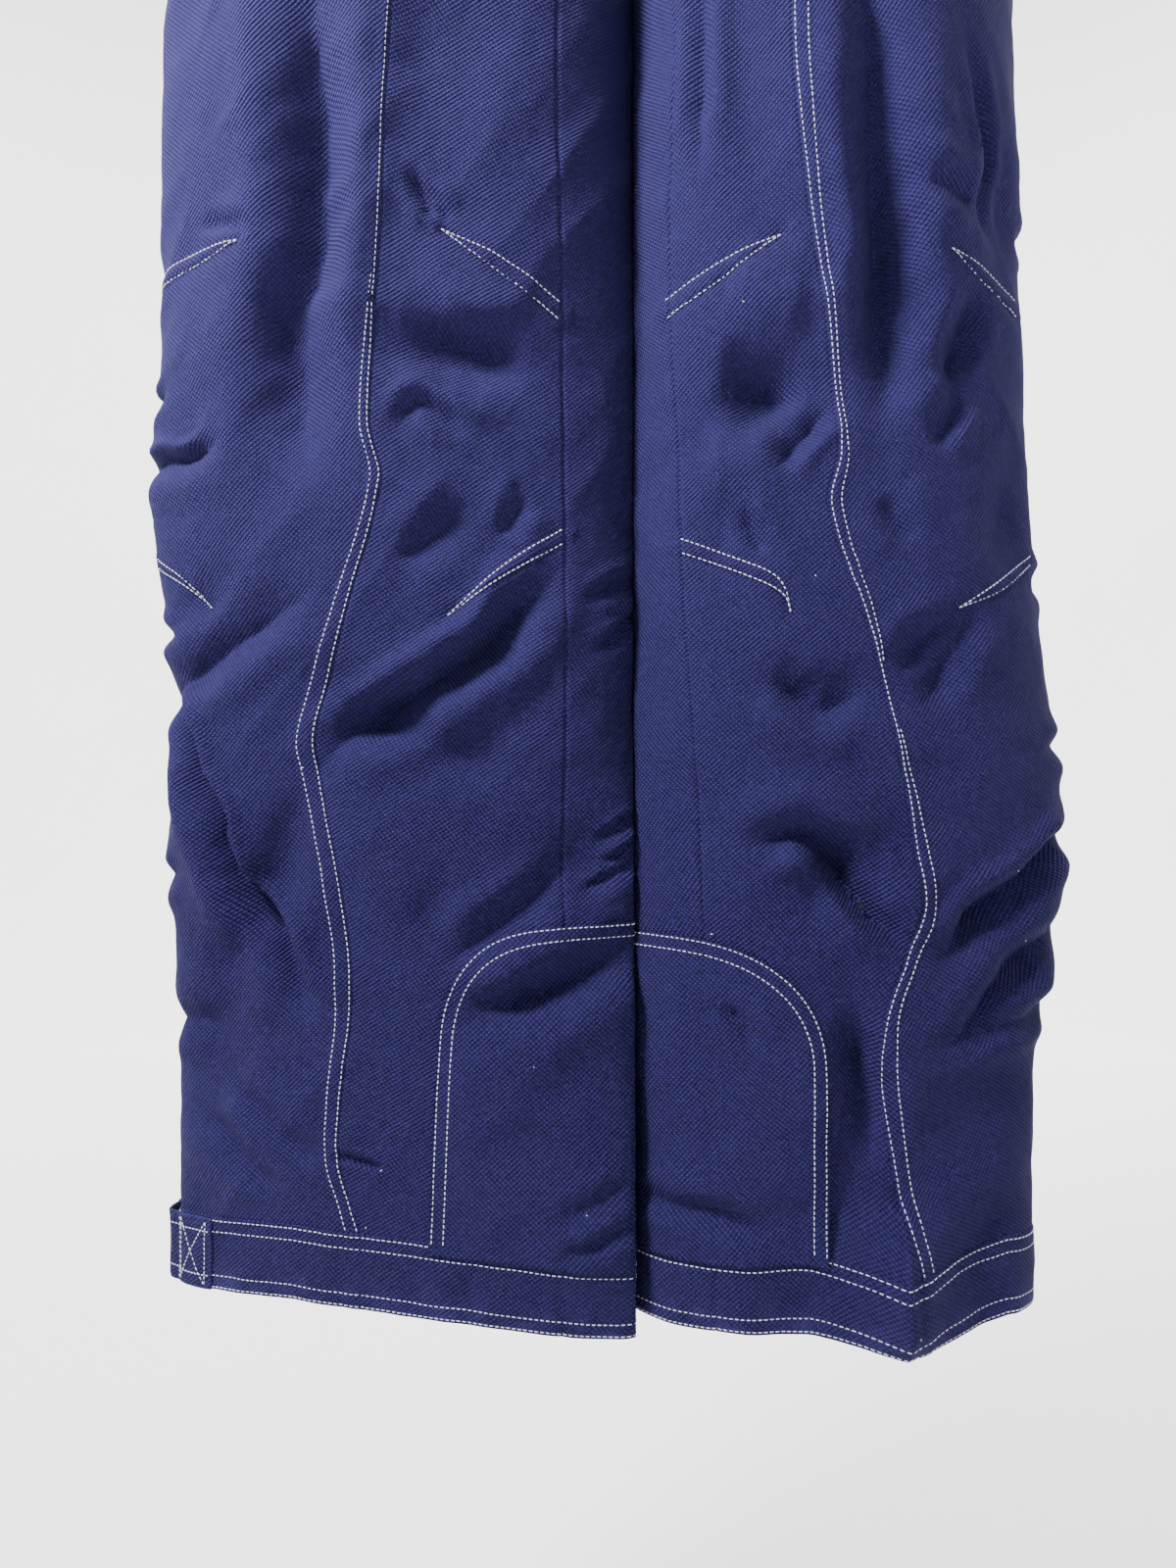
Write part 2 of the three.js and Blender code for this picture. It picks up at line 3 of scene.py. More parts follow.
import bpy
import numpy as np
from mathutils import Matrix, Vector


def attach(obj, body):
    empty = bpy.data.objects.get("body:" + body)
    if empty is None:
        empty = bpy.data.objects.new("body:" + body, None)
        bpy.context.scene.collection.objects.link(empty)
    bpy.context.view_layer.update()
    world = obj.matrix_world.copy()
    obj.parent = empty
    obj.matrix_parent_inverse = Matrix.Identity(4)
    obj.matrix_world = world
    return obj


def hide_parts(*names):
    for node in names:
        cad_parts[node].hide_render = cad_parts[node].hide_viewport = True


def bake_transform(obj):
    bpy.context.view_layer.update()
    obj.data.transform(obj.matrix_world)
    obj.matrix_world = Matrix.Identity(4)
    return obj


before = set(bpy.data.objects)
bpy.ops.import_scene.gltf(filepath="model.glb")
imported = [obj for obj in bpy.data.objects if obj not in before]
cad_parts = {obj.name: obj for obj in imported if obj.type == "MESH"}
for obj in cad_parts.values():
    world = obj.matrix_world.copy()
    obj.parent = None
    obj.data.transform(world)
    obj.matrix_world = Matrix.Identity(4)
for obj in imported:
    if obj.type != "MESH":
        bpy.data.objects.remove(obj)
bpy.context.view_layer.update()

MM = 0.001

# ---- driving sizes, the same as the frame's ----
LENGTH = 1090
BAND_HEIGHT = 38
HEM_HEIGHT = 41
CROTCH_Z = -280
SPLIT_Z = -205
LEG_GAP = 2
ROUNDNESS = 2.3
LEAN_TOP = -700
SHIN_BOTTOM = HEM_HEIGHT - LENGTH
FLY_SLOT = 11
FLY_BOTTOM_Z = -186

SHELL_CLOTH = 1.2
LINING_CLOTH = 0.6
LINING_DEPTH = 4.2
ROW_GAUGE = 6.4  # between the two rows of a double seam
EDGE_TO_ROW = 1.1  # from a seam's edge to its first row
STITCH_PITCH = 3.0
SPLIT_ROW_Z = -430  # where each leg's cloth is divided into an upper and a lower mesh
FRONT_PITCH = 2.1  # size of a mesh cell on the front panels
BACK_PITCH = 3.4

# Sizes down each side as [height, value]. outer, princess and inseam are distances from the middle
# plane, depth is half the size from front to back, and rows is the gap between the princess seam's
# two rows of stitches. hem_drop is how far the hem hangs below level, at distances from the middle.
RIGHT = {
    "name": "right",
    "side": -1,
    "outer": [[0, 190], [-38, 192], [-110, 214], [-196, 240], [-340, 267], [-512, 272], [-588, 275],
              [-633, 278], [-762, 266], [-856, 268], [-928, 262], [-1090, 263]],
    "depth": [[0, 60], [-38, 62], [-196, 80], [-290, 78], [-387, 70], [-520, 58], [-610, 52],
              [-800, 42], [-950, 34], [-1090, 30]],
    "hem_forward": 0,
    "hem_lean": 46,
    "princess": [[-38, 106], [-196, 118], [-387, 131], [-491, 138], [-603, 147], [-634, 142],
                 [-703, 162], [-772, 181], [-799, 178], [-853, 167], [-911, 160], [-1005, 166],
                 [-1049, 154]],
    "inseam": [[-280, 0], [-330, 30], [-377, 42], [-583, 39], [-1090, 39]],
    "rows": [[-38, 6.4], [-330, 5], [-395, 1], [-530, 1.6], [-575, 3.6], [-650, 4.8], [-760, 8.6],
             [-900, 8], [-960, 6.8], [-1049, 6.4]],
    "hem_drop": [[0, 7], [68, 0], [121, -4], [188, -8], [234, -6], [263, -4]],
}
LEFT = {
    "name": "left",
    "side": 1,
    "outer": [[0, 190], [-38, 192], [-110, 207], [-196, 219], [-340, 216], [-512, 221], [-656, 230],
              [-742, 238], [-793, 245], [-885, 239], [-959, 226], [-1090, 221]],
    "depth": [[0, 60], [-38, 62], [-196, 80], [-290, 82], [-387, 84], [-520, 70], [-610, 62],
              [-800, 56], [-950, 52], [-1090, 52]],
    "hem_forward": 25,
    "hem_lean": 0,
    "princess": [[-38, 100], [-196, 92], [-395, 84], [-477, 91], [-561, 104], [-621, 111],
                 [-650, 107], [-720, 129], [-841, 154], [-867, 155], [-928, 134], [-984, 137],
                 [-1049, 148]],
    "inseam": [[-280, 0], [-320, 14], [-376, 21], [-515, 19], [-691, 27], [-831, 35], [-1090, 42]],
    "rows": [[-38, 6.4], [-420, 6.4], [-500, 4.2], [-600, 2.4], [-645, 5.4], [-700, 4], [-745, 1],
             [-765, 1.4], [-800, 3.2], [-860, 6.4], [-905, 5], [-960, 6.8], [-1049, 5.8]],
    "hem_drop": [[0, -2], [91, -3], [137, 6], [199, -7], [221, -6]],
}
LEGS = (RIGHT, LEFT)

# Folds of the cloth, each as (points, width, depth, lean). A point is its distance from the middle
# plane and its height above the hem; a distance past the leg's outer edge goes on round the back,
# and one below 0 round the inner edge. A negative depth is a ridge. lean makes one side steeper.
FOLD_DEPTH = 2.05  # scale of every fold's depth below
HOLLOW_DEPTH = 1.6  # scale of every hollow's depth below
INNER_BULGE = 4.5  # how far the cloth swells at the inner edge, where the legs touch
RIGHT["folds"] = [
    ([(172, 760), (172, 640), (174, 580), (183, 539), (185, 488)], 15, 6.0, 0.2),
    ([(240, 603), (222, 594), (206, 584)], 5, 1.8, 0),
    ([(205, 576), (192, 535), (182, 487), (176, 450)], 18, 5.0, 0),
    ([(290, 470), (262, 473), (243, 474), (220, 481)], 7, 3.6, 0.4),
    ([(132, 478), (124, 492), (116, 498), (104, 492), (90, 478)], 6, 2.6, 0.2),
    ([(130, 545), (95, 532), (56, 522)], 13, 5.0, 0.2),
    ([(125, 615), (104, 590)], 4, 2.2, 0),
    ([(114, 609), (95, 590)], 3.5, 1.8, 0),
    ([(38, 420), (60, 392), (82, 366), (117, 342), (156, 316), (180, 290)], 10, 8.0, -0.2),
    ([(137, 413), (110, 428), (90, 447)], 9, 2.6, 0),
    ([(282, 334), (253, 349), (221, 370), (189, 390), (170, 402)], 11, 4.2, 0),
    ([(76, 428), (55, 450)], 7, 2.6, 0),
    ([(30, 394), (2, 414)], 4, 2.2, 0),
    ([(28, 366), (2, 398)], 4, 2.2, 0.3),
    ([(24, 260), (0, 276)], 3.5, 2.2, 0.3),
    ([(19, 247), (-2, 262)], 3.5, 2.2, 0.3),
    ([(33, 231), (0, 251)], 4, 2.4, 0.3),
    ([(28, 250), (69, 216), (113, 184)], 9, 3.6, 0),
    ([(-8, 208), (20, 192), (47, 179), (97, 160)], 12, 4.6, -0.2),
    ([(268, 352), (256, 327), (243, 297), (221, 241), (197, 202), (179, 164)], 7, 7.5, 0.45),
    ([(205, 214), (188, 180), (178, 160)], 10, 4.0, 0.3),
    ([(250, 111), (223, 83), (186, 61)], 9, 2.6, 0),
    ([(230, 127), (205, 101), (169, 76)], 8, 2.2, 0),
    ([(165, 86), (136, 77)], 3, 1.8, 0),
    ([(44, 43), (0, 63)], 4, 1.8, 0),
    ([(50, 60), (3, 84)], 5, 1.5, 0),
    ([(300, 508), (258, 514)], 6, 2.6, 0.3),
    ([(298, 384), (252, 371)], 5, 2.2, 0),
    ([(290, 232), (250, 240)], 6, 2.0, 0),
    ([(288, 150), (252, 158), (225, 150)], 9, 2.2, 0),
]
# Broad hollows, as (distance from the middle, height, half sizes across and down, depth, turn).
RIGHT["hollows"] = [
    (92, 522, 44, 17, 6.5, 8), (176, 600, 17, 70, 5.5, 0), (195, 500, 22, 40, 5, 10),
    (120, 318, 52, 16, 7, 28), (205, 232, 15, 56, 7, 20), (230, 392, 26, 17, 4.5, -25),
    (62, 178, 48, 18, 5, -22), (90, 425, 24, 14, 3.5, 25), (30, 250, 22, 14, 4, 30),
    (235, 130, 20, 30, 3.5, 10), (110, 215, 16, 26, 3.5, 0), (135, 660, 16, 60, -3, 0),
    (60, 90, 40, 22, 3.2, 15), (100, 690, 30, 40, 3.0, 0),
]
LEFT["hollows"] = [
    (76, 497, 36, 26, 9, 12), (133, 560, 13, 70, 6, -4), (200, 600, 16, 36, 4.5, 10),
    (176, 528, 20, 28, 5, 15), (95, 345, 32, 13, 5.5, -10), (160, 350, 18, 22, 5, 30),
    (112, 240, 34, 17, 8, 32), (196, 212, 36, 16, 6, -40), (115, 130, 12, 44, 5, 0),
    (45, 140, 26, 36, 3.5, 10), (50, 430, 18, 22, 4, 15), (205, 440, 14, 34, 4, -10),
    (60, 650, 18, 60, 3.5, 0), (190, 120, 30, 22, 3, 20), (60, 60, 40, 14, 3.5, 10),
]
LEFT["folds"] = [
    ([(118, 760), (122, 680), (126, 623), (131, 574), (134, 505), (143, 470)], 14, 7.0, 0.2),
    ([(34, 740), (34, 696), (35, 646), (33, 610)], 6, 2.6, 0),
    ([(38, 514), (56, 510), (72, 504), (94, 500)], 22, 7.0, 0),
    ([(106, 497), (88, 474), (72, 454)], 7, 4.0, -0.3),
    ([(169, 692), (189, 637), (188, 598), (204, 580)], 5, 2.4, 0),
    ([(148, 608), (166, 606), (186, 599)], 7, 3.2, 0),
    ([(179, 654), (196, 612)], 4, 1.8, 0),
    ([(187, 558), (176, 528), (168, 502)], 9, 3.6, 0),
    ([(180, 508), (157, 468)], 7, 3.2, -0.3),
    ([(132, 448), (149, 418)], 8, 2.6, 0),
    ([(55, 444), (70, 413)], 5, 2.2, 0),
    ([(69, 352), (83, 339), (98, 332), (122, 339)], 9, 4.2, 0),
    ([(176, 386), (156, 367), (139, 346)], 8, 3.6, 0),
    ([(192, 390), (172, 362), (154, 326)], 8, 3.0, 0),
    ([(54, 252), (66, 260), (84, 263), (108, 246), (128, 219), (148, 194)], 9, 7.5, 0.2),
    ([(256, 270), (227, 252), (190, 223), (150, 188)], 8, 5.5, 0.2),
    ([(246, 214), (219, 198), (183, 166), (156, 142)], 9, 4.2, 0.2),
    ([(240, 172), (213, 163), (170, 149)], 7, 2.6, 0),
    ([(49, 174), (65, 144)], 7, 2.6, 0),
    ([(108, 174), (117, 145), (122, 120), (123, 95)], 12, 5.0, 0),
    ([(2, 71), (30, 63), (55, 56), (79, 37)], 6, 2.6, 0),
    ([(245, 606), (214, 596)], 6, 2.4, 0),
    ([(250, 418), (222, 402)], 6, 3.0, 0.3),
    ([(262, 318), (226, 308)], 6, 2.2, 0),
    ([(139, 80), (139, 30), (139, -20)], 26, -9.0, 0),
]

# The knee's double-stitched darts: two roots and a tip, as distance from the middle and height.
RIGHT["darts"] = [
    ([(269, 577), (240, 583), (214, 584)], [(269, 570), (240, 577), (214, 584)]),
    ([(41, 555), (74, 575), (105, 589)], [(42, 546), (74, 567), (105, 589)]),
    ([(272, 420), (255, 407), (238, 389)], [(272, 415), (254, 403), (238, 389)]),
    ([(40, 432), (72, 411), (103, 383)], [(40, 424), (72, 405), (103, 383)]),
]
LEFT["darts"] = [
    ([(17, 557), (46, 571), (76, 582)], [(18, 547), (47, 563), (76, 582)]),
    ([(213, 560), (192, 569), (166, 575)], [(213, 551), (190, 562), (166, 575)]),
    ([(25, 426), (50, 415), (72, 405), (80, 396), (83, 383)],
     [(26, 418), (50, 408), (70, 399), (80, 392), (83, 383)]),
    ([(222, 419), (200, 403), (174, 386)], [(222, 414), (200, 397), (174, 386)]),
]

# Inner-ankle scuff guard: reach and height of its edge, and how square its top corners are.
RIGHT["guard"] = {"reach": 107, "spread": 0.035, "shoulder": 150, "top": 214, "square": 5.0}
LEFT["guard"] = {"reach": 100, "spread": 0.0, "shoulder": 142, "top": 209, "square": 3.4}


# ---- the surface ----
def smoothstep(t):
    c = np.clip(t, 0, 1)
    return c * c * (3 - 2 * c)


def smooth(stations, z):
    """Smooth value at heights z through stations listed from the top down."""
    h, v = np.array(stations, float).T
    last = len(h) - 1
    up = np.maximum(np.arange(last + 1) - 1, 0)
    down = np.minimum(np.arange(last + 1) + 1, last)
    slope = (v[down] - v[up]) / (h[down] - h[up])
    z = np.clip(np.asarray(z, float), h[-1], h[0])
    i = np.clip(np.searchsorted(-h, -z), 1, last)
    span = h[i] - h[i - 1]
    t = (z - h[i - 1]) / span
    mix = t * t * (3 - 2 * t)
    lift = t * (1 - t) * span
    return v[i - 1] * (1 - mix) + v[i] * mix + lift * ((1 - t) * slope[i - 1] - t * slope[i])


def power(value):
    return np.sign(value) * np.abs(value) ** (2 / ROUNDNESS)


def skin(leg, s, z):
    """Point of the outer face: s runs from the inner edge (0) over the front to the outer edge (1)
    and over the back to the inner edge (2)."""
    s, z = np.broadcast_arrays(np.asarray(s, float), np.asarray(z, float))
    outer, depth = smooth(leg["outer"], z), smooth(leg["depth"], z)
    width = (outer - LEG_GAP) / 2
    leg_x = LEG_GAP + width * (1 - power(np.cos(np.pi * s)))
    leg_y = -depth * power(np.sin(np.pi * s))
    hip_angle = np.pi / 2 * np.where(s <= 1, s, 2 - s)
    hip_x = outer * power(np.sin(hip_angle))
    hip_y = depth * power(np.cos(hip_angle)) * np.where(s <= 1, -1, 1)
    as_leg = smoothstep((SPLIT_Z - z) / (SPLIT_Z - CROTCH_Z))
    x = hip_x + (leg_x - hip_x) * as_leg
    y = hip_y + (leg_y - hip_y) * as_leg
    droop = smoothstep((LEAN_TOP - z) / (LEAN_TOP + LENGTH))
    y = y - droop * (leg["hem_forward"] + leg["hem_lean"] * (1 - x / outer))
    return np.stack([leg["side"] * x, y, z], -1)


def outward(leg, s, z):
    """Level unit normal of the outer face."""
    step = 1e-3
    across = skin(leg, s + step, z) - skin(leg, s - step, z)
    normal = leg["side"] * np.stack([across[..., 1], -across[..., 0], 0 * across[..., 0]], -1)
    return normal / np.linalg.norm(normal, axis=-1, keepdims=True)


def across_to(leg, x, z):
    """The s of the point on the front that stands x from the middle plane."""
    x, z = np.broadcast_arrays(np.asarray(x, float), np.asarray(z, float))
    low, high = np.zeros(x.shape), np.ones(x.shape)
    for _ in range(24):
        middle = (low + high) / 2
        below = np.abs(skin(leg, middle, z)[..., 0]) < x
        low, high = np.where(below, middle, low), np.where(below, high, middle)
    return low


TABLE_S = np.linspace(-0.8, 2.8, 721)
TABLE_Z = np.linspace(0, -LENGTH, 219)


def make_girth_table(leg):
    """Distance round the leg from its inner edge, in front positive, for every s and height."""
    points = skin(leg, TABLE_S[:, None], TABLE_Z[None, :])
    steps = np.linalg.norm(np.diff(points, axis=0), axis=-1)
    girth = np.concatenate([np.zeros((1, len(TABLE_Z))), np.cumsum(steps, axis=0)])
    start = np.searchsorted(TABLE_S, 0)
    leg["girth"] = girth - girth[start]


def around(leg, s, z):
    """Distance round the leg from its inner edge to s."""
    s, z = np.broadcast_arrays(np.asarray(s, float), np.asarray(z, float))
    i = np.clip((s - TABLE_S[0]) / (TABLE_S[1] - TABLE_S[0]), 0, len(TABLE_S) - 1.001)
    j = np.clip((z - TABLE_Z[0]) / (TABLE_Z[1] - TABLE_Z[0]), 0, len(TABLE_Z) - 1.001)
    i0, j0 = i.astype(int), j.astype(int)
    a, b = i - i0, j - j0
    g = leg["girth"]
    low = g[i0, j0] * (1 - a) + g[i0 + 1, j0] * a
    high = g[i0, j0 + 1] * (1 - a) + g[i0 + 1, j0 + 1] * a
    return low * (1 - b) + high * b


def s_at(leg, u, z):
    """The s that stands at distance u round the leg."""
    u, z = np.broadcast_arrays(np.asarray(u, float), np.asarray(z, float))
    low, high = np.full(u.shape, TABLE_S[0]), np.full(u.shape, TABLE_S[-1])
    for _ in range(22):
        middle = (low + high) / 2
        below = around(leg, middle, z) < u
        low, high = np.where(below, middle, low), np.where(below, high, middle)
    return low


def front_to_girth(leg, points):
    """(distance round the leg, height) of points given as distance from the middle and height
    above the hem."""
    x, h = np.array(points, float).T
    z = h - LENGTH
    edge = smooth(leg["outer"], z)
    s = across_to(leg, np.clip(x, LEG_GAP, edge), z)
    u = around(leg, s, z) + np.maximum(x - edge, 0) + np.minimum(x, 0)
    return np.stack([u, z], -1)


def curve(points, step=4.0):
    """Points of a smooth line through the given ones, about step apart."""
    p = np.array(points, float)
    if len(p) < 3:
        p = np.array([p[0], (p[0] + p[-1]) / 2, p[-1]])
    ends = np.vstack([2 * p[0] - p[1], p, 2 * p[-1] - p[-2]])
    made = []
    for a, b, c, d in zip(ends, ends[1:], ends[2:], ends[3:]):
        count = max(int(np.linalg.norm(c - b) / step), 1)
        t = np.linspace(0, 1, count, endpoint=False)[:, None]
        made.append(0.5 * (2 * b + (c - a) * t + (2 * a - 5 * b + 4 * c - d) * t**2
                           + (3 * b - a - 3 * c + d) * t**3))
    return np.vstack(made + [p[-1:]])


# ---- folds, puckers and seams, as a height over the outer face ----
def noise(u, z, size, seed):
    """Smooth seeded noise, from -1 to 1, with features about size apart."""
    lattice = np.random.default_rng(seed).uniform(-1, 1, (64, 64))
    a, b = u / size, z / size
    i, j = np.floor(a).astype(int), np.floor(b).astype(int)
    ta, tb = smoothstep(a - i), smoothstep(b - j)

    def at(m, n):
        return lattice[m % 64, n % 64]

    low = at(i, j) * (1 - ta) + at(i + 1, j) * ta
    high = at(i, j + 1) * (1 - ta) + at(i + 1, j + 1) * ta
    return low * (1 - tb) + high * tb


def lengths_along(points):
    """Distance of each point of a line from its first one, along the line."""
    return np.concatenate([[0], np.cumsum(np.linalg.norm(np.diff(points, axis=0), axis=1))])


def close_to(points, u, z, reach):
    """Which of the (u, z) places lie within reach of the box round some points."""
    return ((u > points[:, 0].min() - reach) & (u < points[:, 0].max() + reach)
            & (z > points[:, 1].min() - reach) & (z < points[:, 1].max() + reach))


def nearest(line, u, z):
    """Distance of each point to a line, the share of the line's length there, and its side."""
    before = lengths_along(line)
    steps = np.diff(before)
    best = np.full(u.shape, np.inf)
    share, side = np.zeros(u.shape), np.zeros(u.shape)
    for k, (a, b) in enumerate(zip(line, line[1:])):
        du, dz = b - a
        t = np.clip(((u - a[0]) * du + (z - a[1]) * dz) / (du * du + dz * dz), 0, 1)
        ou, oz = u - a[0] - t * du, z - a[1] - t * dz
        away = np.hypot(ou, oz)
        closer = away < best
        best = np.where(closer, away, best)
        share = np.where(closer, (before[k] + t * steps[k]) / before[-1], share)
        side = np.where(closer, np.sign(du * oz - dz * ou), side)
    return best, share, side


def fold_height(line, width, depth, lean, u, z):
    """A valley along a line, with raised shoulders, that fades out at both ends."""
    near = close_to(line, u, z, 4 * width)
    height = np.zeros(u.shape)
    if not near.any():
        return height
    away, share, side = nearest(line, u[near], z[near])
    ends = smoothstep(share / 0.35) * smoothstep((1 - share) / 0.35)
    spread = width * (1 + lean * side * ends)
    valley = 0.55 * np.exp(-((away / spread) ** 2)) + 0.45 * np.exp(-2.4 * away / spread)
    shoulder = np.exp(-(((away - 1.9 * spread) / spread) ** 2))
    height[near] = -depth * ends * (valley - 0.4 * shoulder)
    return height


def back_folds(leg):
    """Folds across the back: tight ones behind the knee, slack ones at calf and seat."""
    random = np.random.default_rng(7 if leg["side"] < 0 else 8)
    made = []
    for h, count, width, depth in ((470, 7, 9, 3.4), (250, 4, 13, 3.2), (690, 4, 15, 3.6),
                                   (90, 3, 10, 2.2)):
        for i in range(count):
            z = h - LENGTH + (i - count / 2) * 2.6 * width + random.uniform(-6, 6)
            start, length = random.uniform(1.06, 1.5), random.uniform(0.25, 0.5)
            tilt = random.uniform(-26, 26)
            s = start + length * np.array([0, 0.5, 1])
            line = np.stack([around(leg, s, z), z + tilt * np.array([0, 0.35, 1])], -1)
            made.append((curve(line), width * random.uniform(0.7, 1.2),
                         depth * random.uniform(0.6, 1.1), random.uniform(-0.3, 0.3)))
    return made


def princess_middle(leg, z):
    return around(leg, across_to(leg, smooth(leg["princess"], z), z), z)


def princess_join(leg, z):
    """Distance round the leg of the princess seam's edge, just inside its two rows."""
    return princess_middle(leg, z) - smooth(leg["rows"], z) / 2 - EDGE_TO_ROW


def inseam_s(leg, z):
    s = across_to(leg, np.maximum(smooth(leg["inseam"], z), LEG_GAP), z)
    return np.where(z > CROTCH_Z, 0, s)


def seam_height(away, along, outer_side, seed):
    """Groove along a plain seam, with puckers beside it."""
    groove = -0.9 * np.exp(-((away / 1.1) ** 2))
    ripple = noise(along, 0 * along, 11, seed) * np.exp(-np.abs(away) / 15)
    return groove + 0.55 * ripple * (1 if outer_side else 0.8)


def double_seam_height(leg, u, z):
    """The princess seam: a raised band between two sunk rows of stitches, puckers on both sides."""
    middle, half = princess_middle(leg, z), smooth(leg["rows"], z) / 2
    away = u - middle
    band = smoothstep((half + EDGE_TO_ROW + 0.5 - np.abs(away)) / 0.9)
    rows = np.exp(-(((np.abs(away) - half) / 0.8) ** 2))
    edge = np.exp(-(((away + half + EDGE_TO_ROW + 0.4) / 0.8) ** 2))
    ripple = noise(z, 0 * z, 12, 21) * np.exp(-np.abs(away) / 17)
    return 0.75 * band - 0.45 * rows - 0.7 * edge + 0.65 * ripple


def dart_height(rows, u, z):
    """A dart: cloth raised between its two rows, a step under the lower one and a dent at the tip."""
    upper, lower = rows
    height = np.zeros(u.shape)
    near = close_to(np.vstack([upper, lower]), u, z, 26)
    if not near.any():
        return height
    a, _, above = nearest(upper, u[near], z[near])
    b, share_b, below = nearest(lower, u[near], z[near])
    between = (above * below < 0) & (np.maximum(a, b) < 11)
    inside = np.where(between, smoothstep(np.minimum(a, b) / 0.9), 0)
    groove = np.exp(-((a / 0.9) ** 2)) + np.exp(-((b / 0.9) ** 2))
    step = np.exp(-((b / 3.2) ** 2)) * smoothstep(share_b / 0.2) * (~between)
    tip = np.exp(-(((u[near] - upper[-1, 0]) ** 2 + (z[near] - upper[-1, 1]) ** 2) / 60.0))
    height[near] = 0.6 * inside - 0.45 * groove - 0.8 * step - 1.2 * tip
    return height


def prepare(leg):
    """Works out everything that relief() needs for a leg."""
    make_girth_table(leg)
    lines = [(curve(front_to_girth(leg, p)), w, FOLD_DEPTH * d, k) for p, w, d, k in leg["folds"]]
    leg["lines"] = lines + back_folds(leg)
    leg["dents"] = [(*front_to_girth(leg, [(x, h)])[0], wide, tall, depth, math.radians(turn))
                    for x, h, wide, tall, depth, turn in leg["hollows"]]
    leg["dart_lines"] = [[curve(front_to_girth(leg, r)) for r in rows] for rows in leg["darts"]]


def slack(leg, u, z):
    """Small unevenness of hanging cloth, everywhere."""
    seed = leg["side"]
    slant, fall = u * 0.8 + z * 0.6, z * 0.8 - u * 0.6
    creases = 1 - 2 * np.abs(noise(slant, fall * 0.4, 30, 13 + seed))
    return (1.6 * noise(u, z * 0.6, 46, 3 + seed) + 1.0 * creases
            + 0.4 * noise(u, z, 13, 23 + seed) + 0.16 * noise(u, z, 6, 33 + seed))


def fold_relief(leg, u, z, girth):
    """Height that the folds and the broad hollows give, along gently wavering lines."""
    height = np.zeros(u.shape)
    bent_u = u + 3.2 * noise(u, z, 34, 81) + 1.2 * noise(u, z, 12, 82)
    bent_z = z + 3.2 * noise(u, z, 30, 83) + 1.2 * noise(u, z, 12, 84)
    for line, width, depth, lean in leg["lines"]:
        for turn in (-1, 0, 1):
            height += fold_height(line, width, depth, lean, bent_u + turn * girth, bent_z)
    for at_u, at_z, wide, tall, depth, turned in leg["dents"]:
        du, dz = bent_u - at_u, bent_z - at_z
        across = (du * math.cos(turned) + dz * math.sin(turned)) / wide
        down = (dz * math.cos(turned) - du * math.sin(turned)) / tall
        height -= HOLLOW_DEPTH * depth * np.exp(-(across**2 + down**2))
    return height


def seam_relief(leg, s, u, z):
    """Height that the seams and the darts give."""
    height = np.where(s < 1, double_seam_height(leg, u, z), 0)
    height += seam_height(u - around(leg, np.ones(s.shape), z), z, True, 41)
    height += seam_height(u - around(leg, inseam_s(leg, z), z), z, False, 43) * (z < CROTCH_Z)
    for rows in leg["dart_lines"]:
        height += dart_height(rows, u, z)
    return height


def relief(leg, s, z):
    """Height of the cloth over the outer face at (s, z). It is the same at s and at s + 2."""
    s, z = np.broadcast_arrays(np.asarray(s, float), np.asarray(z, float))
    shape = s.shape
    s, z = np.mod(s.ravel(), 2), z.ravel()
    u = around(leg, s, z)
    girth = around(leg, 2 + 0 * s, z)
    height = fold_relief(leg, u, z, girth)
    near_end = smoothstep((girth - u) / 70)
    height += slack(leg, u, z) * near_end + slack(leg, u - girth, z) * (1 - near_end)
    height *= smoothstep((-BAND_HEIGHT - 4 - z) / 90)
    beside = np.minimum(u, girth - u)
    height += INNER_BULGE * np.exp(-((beside / 15) ** 2)) * smoothstep((CROTCH_Z + 10 - z) / 50)
    height += seam_relief(leg, s, u, z) * smoothstep((-BAND_HEIGHT - z) / 6)
    above_hem = np.maximum(z - SHIN_BOTTOM, 0)
    height += 0.7 * noise(u, 0 * u, 16, 51) * np.exp(-above_hem / 18) * (z < -900)
    return height.reshape(shape)


def hem_drop(leg, x, z):
    """How far cloth near the hem hangs below level, at distance x from the middle plane."""
    at, drop = np.array(leg["hem_drop"], float).T
    return np.interp(np.abs(x), at, drop) * smoothstep((-890 - z) / 170)


def place(leg, s, z, height=0.0):
    """Point of the cloth at (s, z), at a height over it, in millimetres."""
    s, z = np.broadcast_arrays(np.asarray(s, float), np.asarray(z, float))
    p = skin(leg, s, z) + outward(leg, s, z) * (relief(leg, s, z) + height)[..., None]
    as_leg = smoothstep((SPLIT_Z - z) / (SPLIT_Z - CROTCH_Z)) * smoothstep((z - CROTCH_Z + 30) / 30)
    beside = np.minimum(np.mod(s, 2), 2 - np.mod(s, 2))
    closing = LEG_GAP * as_leg * np.exp(-((beside / 0.03) ** 2))
    p[..., 0] -= leg["side"] * closing
    below = z < CROTCH_Z
    touching = leg["side"] * np.maximum(leg["side"] * p[..., 0], 0.15)
    p[..., 0] = np.where(below, touching, p[..., 0])
    p[..., 2] -= hem_drop(leg, p[..., 0], z)
    return p


# ---- materials ----
def make_material(name, color, roughness, metallic=0.0, sheen=0.0):
    material = bpy.data.materials.new(name)
    material.use_nodes = True
    shader = material.node_tree.nodes["Principled BSDF"]
    shader.inputs["Base Color"].default_value = (*color, 1)
    shader.inputs["Roughness"].default_value = roughness
    shader.inputs["Metallic"].default_value = metallic
    shader.inputs["Sheen Weight"].default_value = sheen
    shader.inputs["Sheen Roughness"].default_value = 0.55
    if not metallic:
        shader.inputs["Specular IOR Level"].default_value = 0.07
    return material, material.node_tree, shader


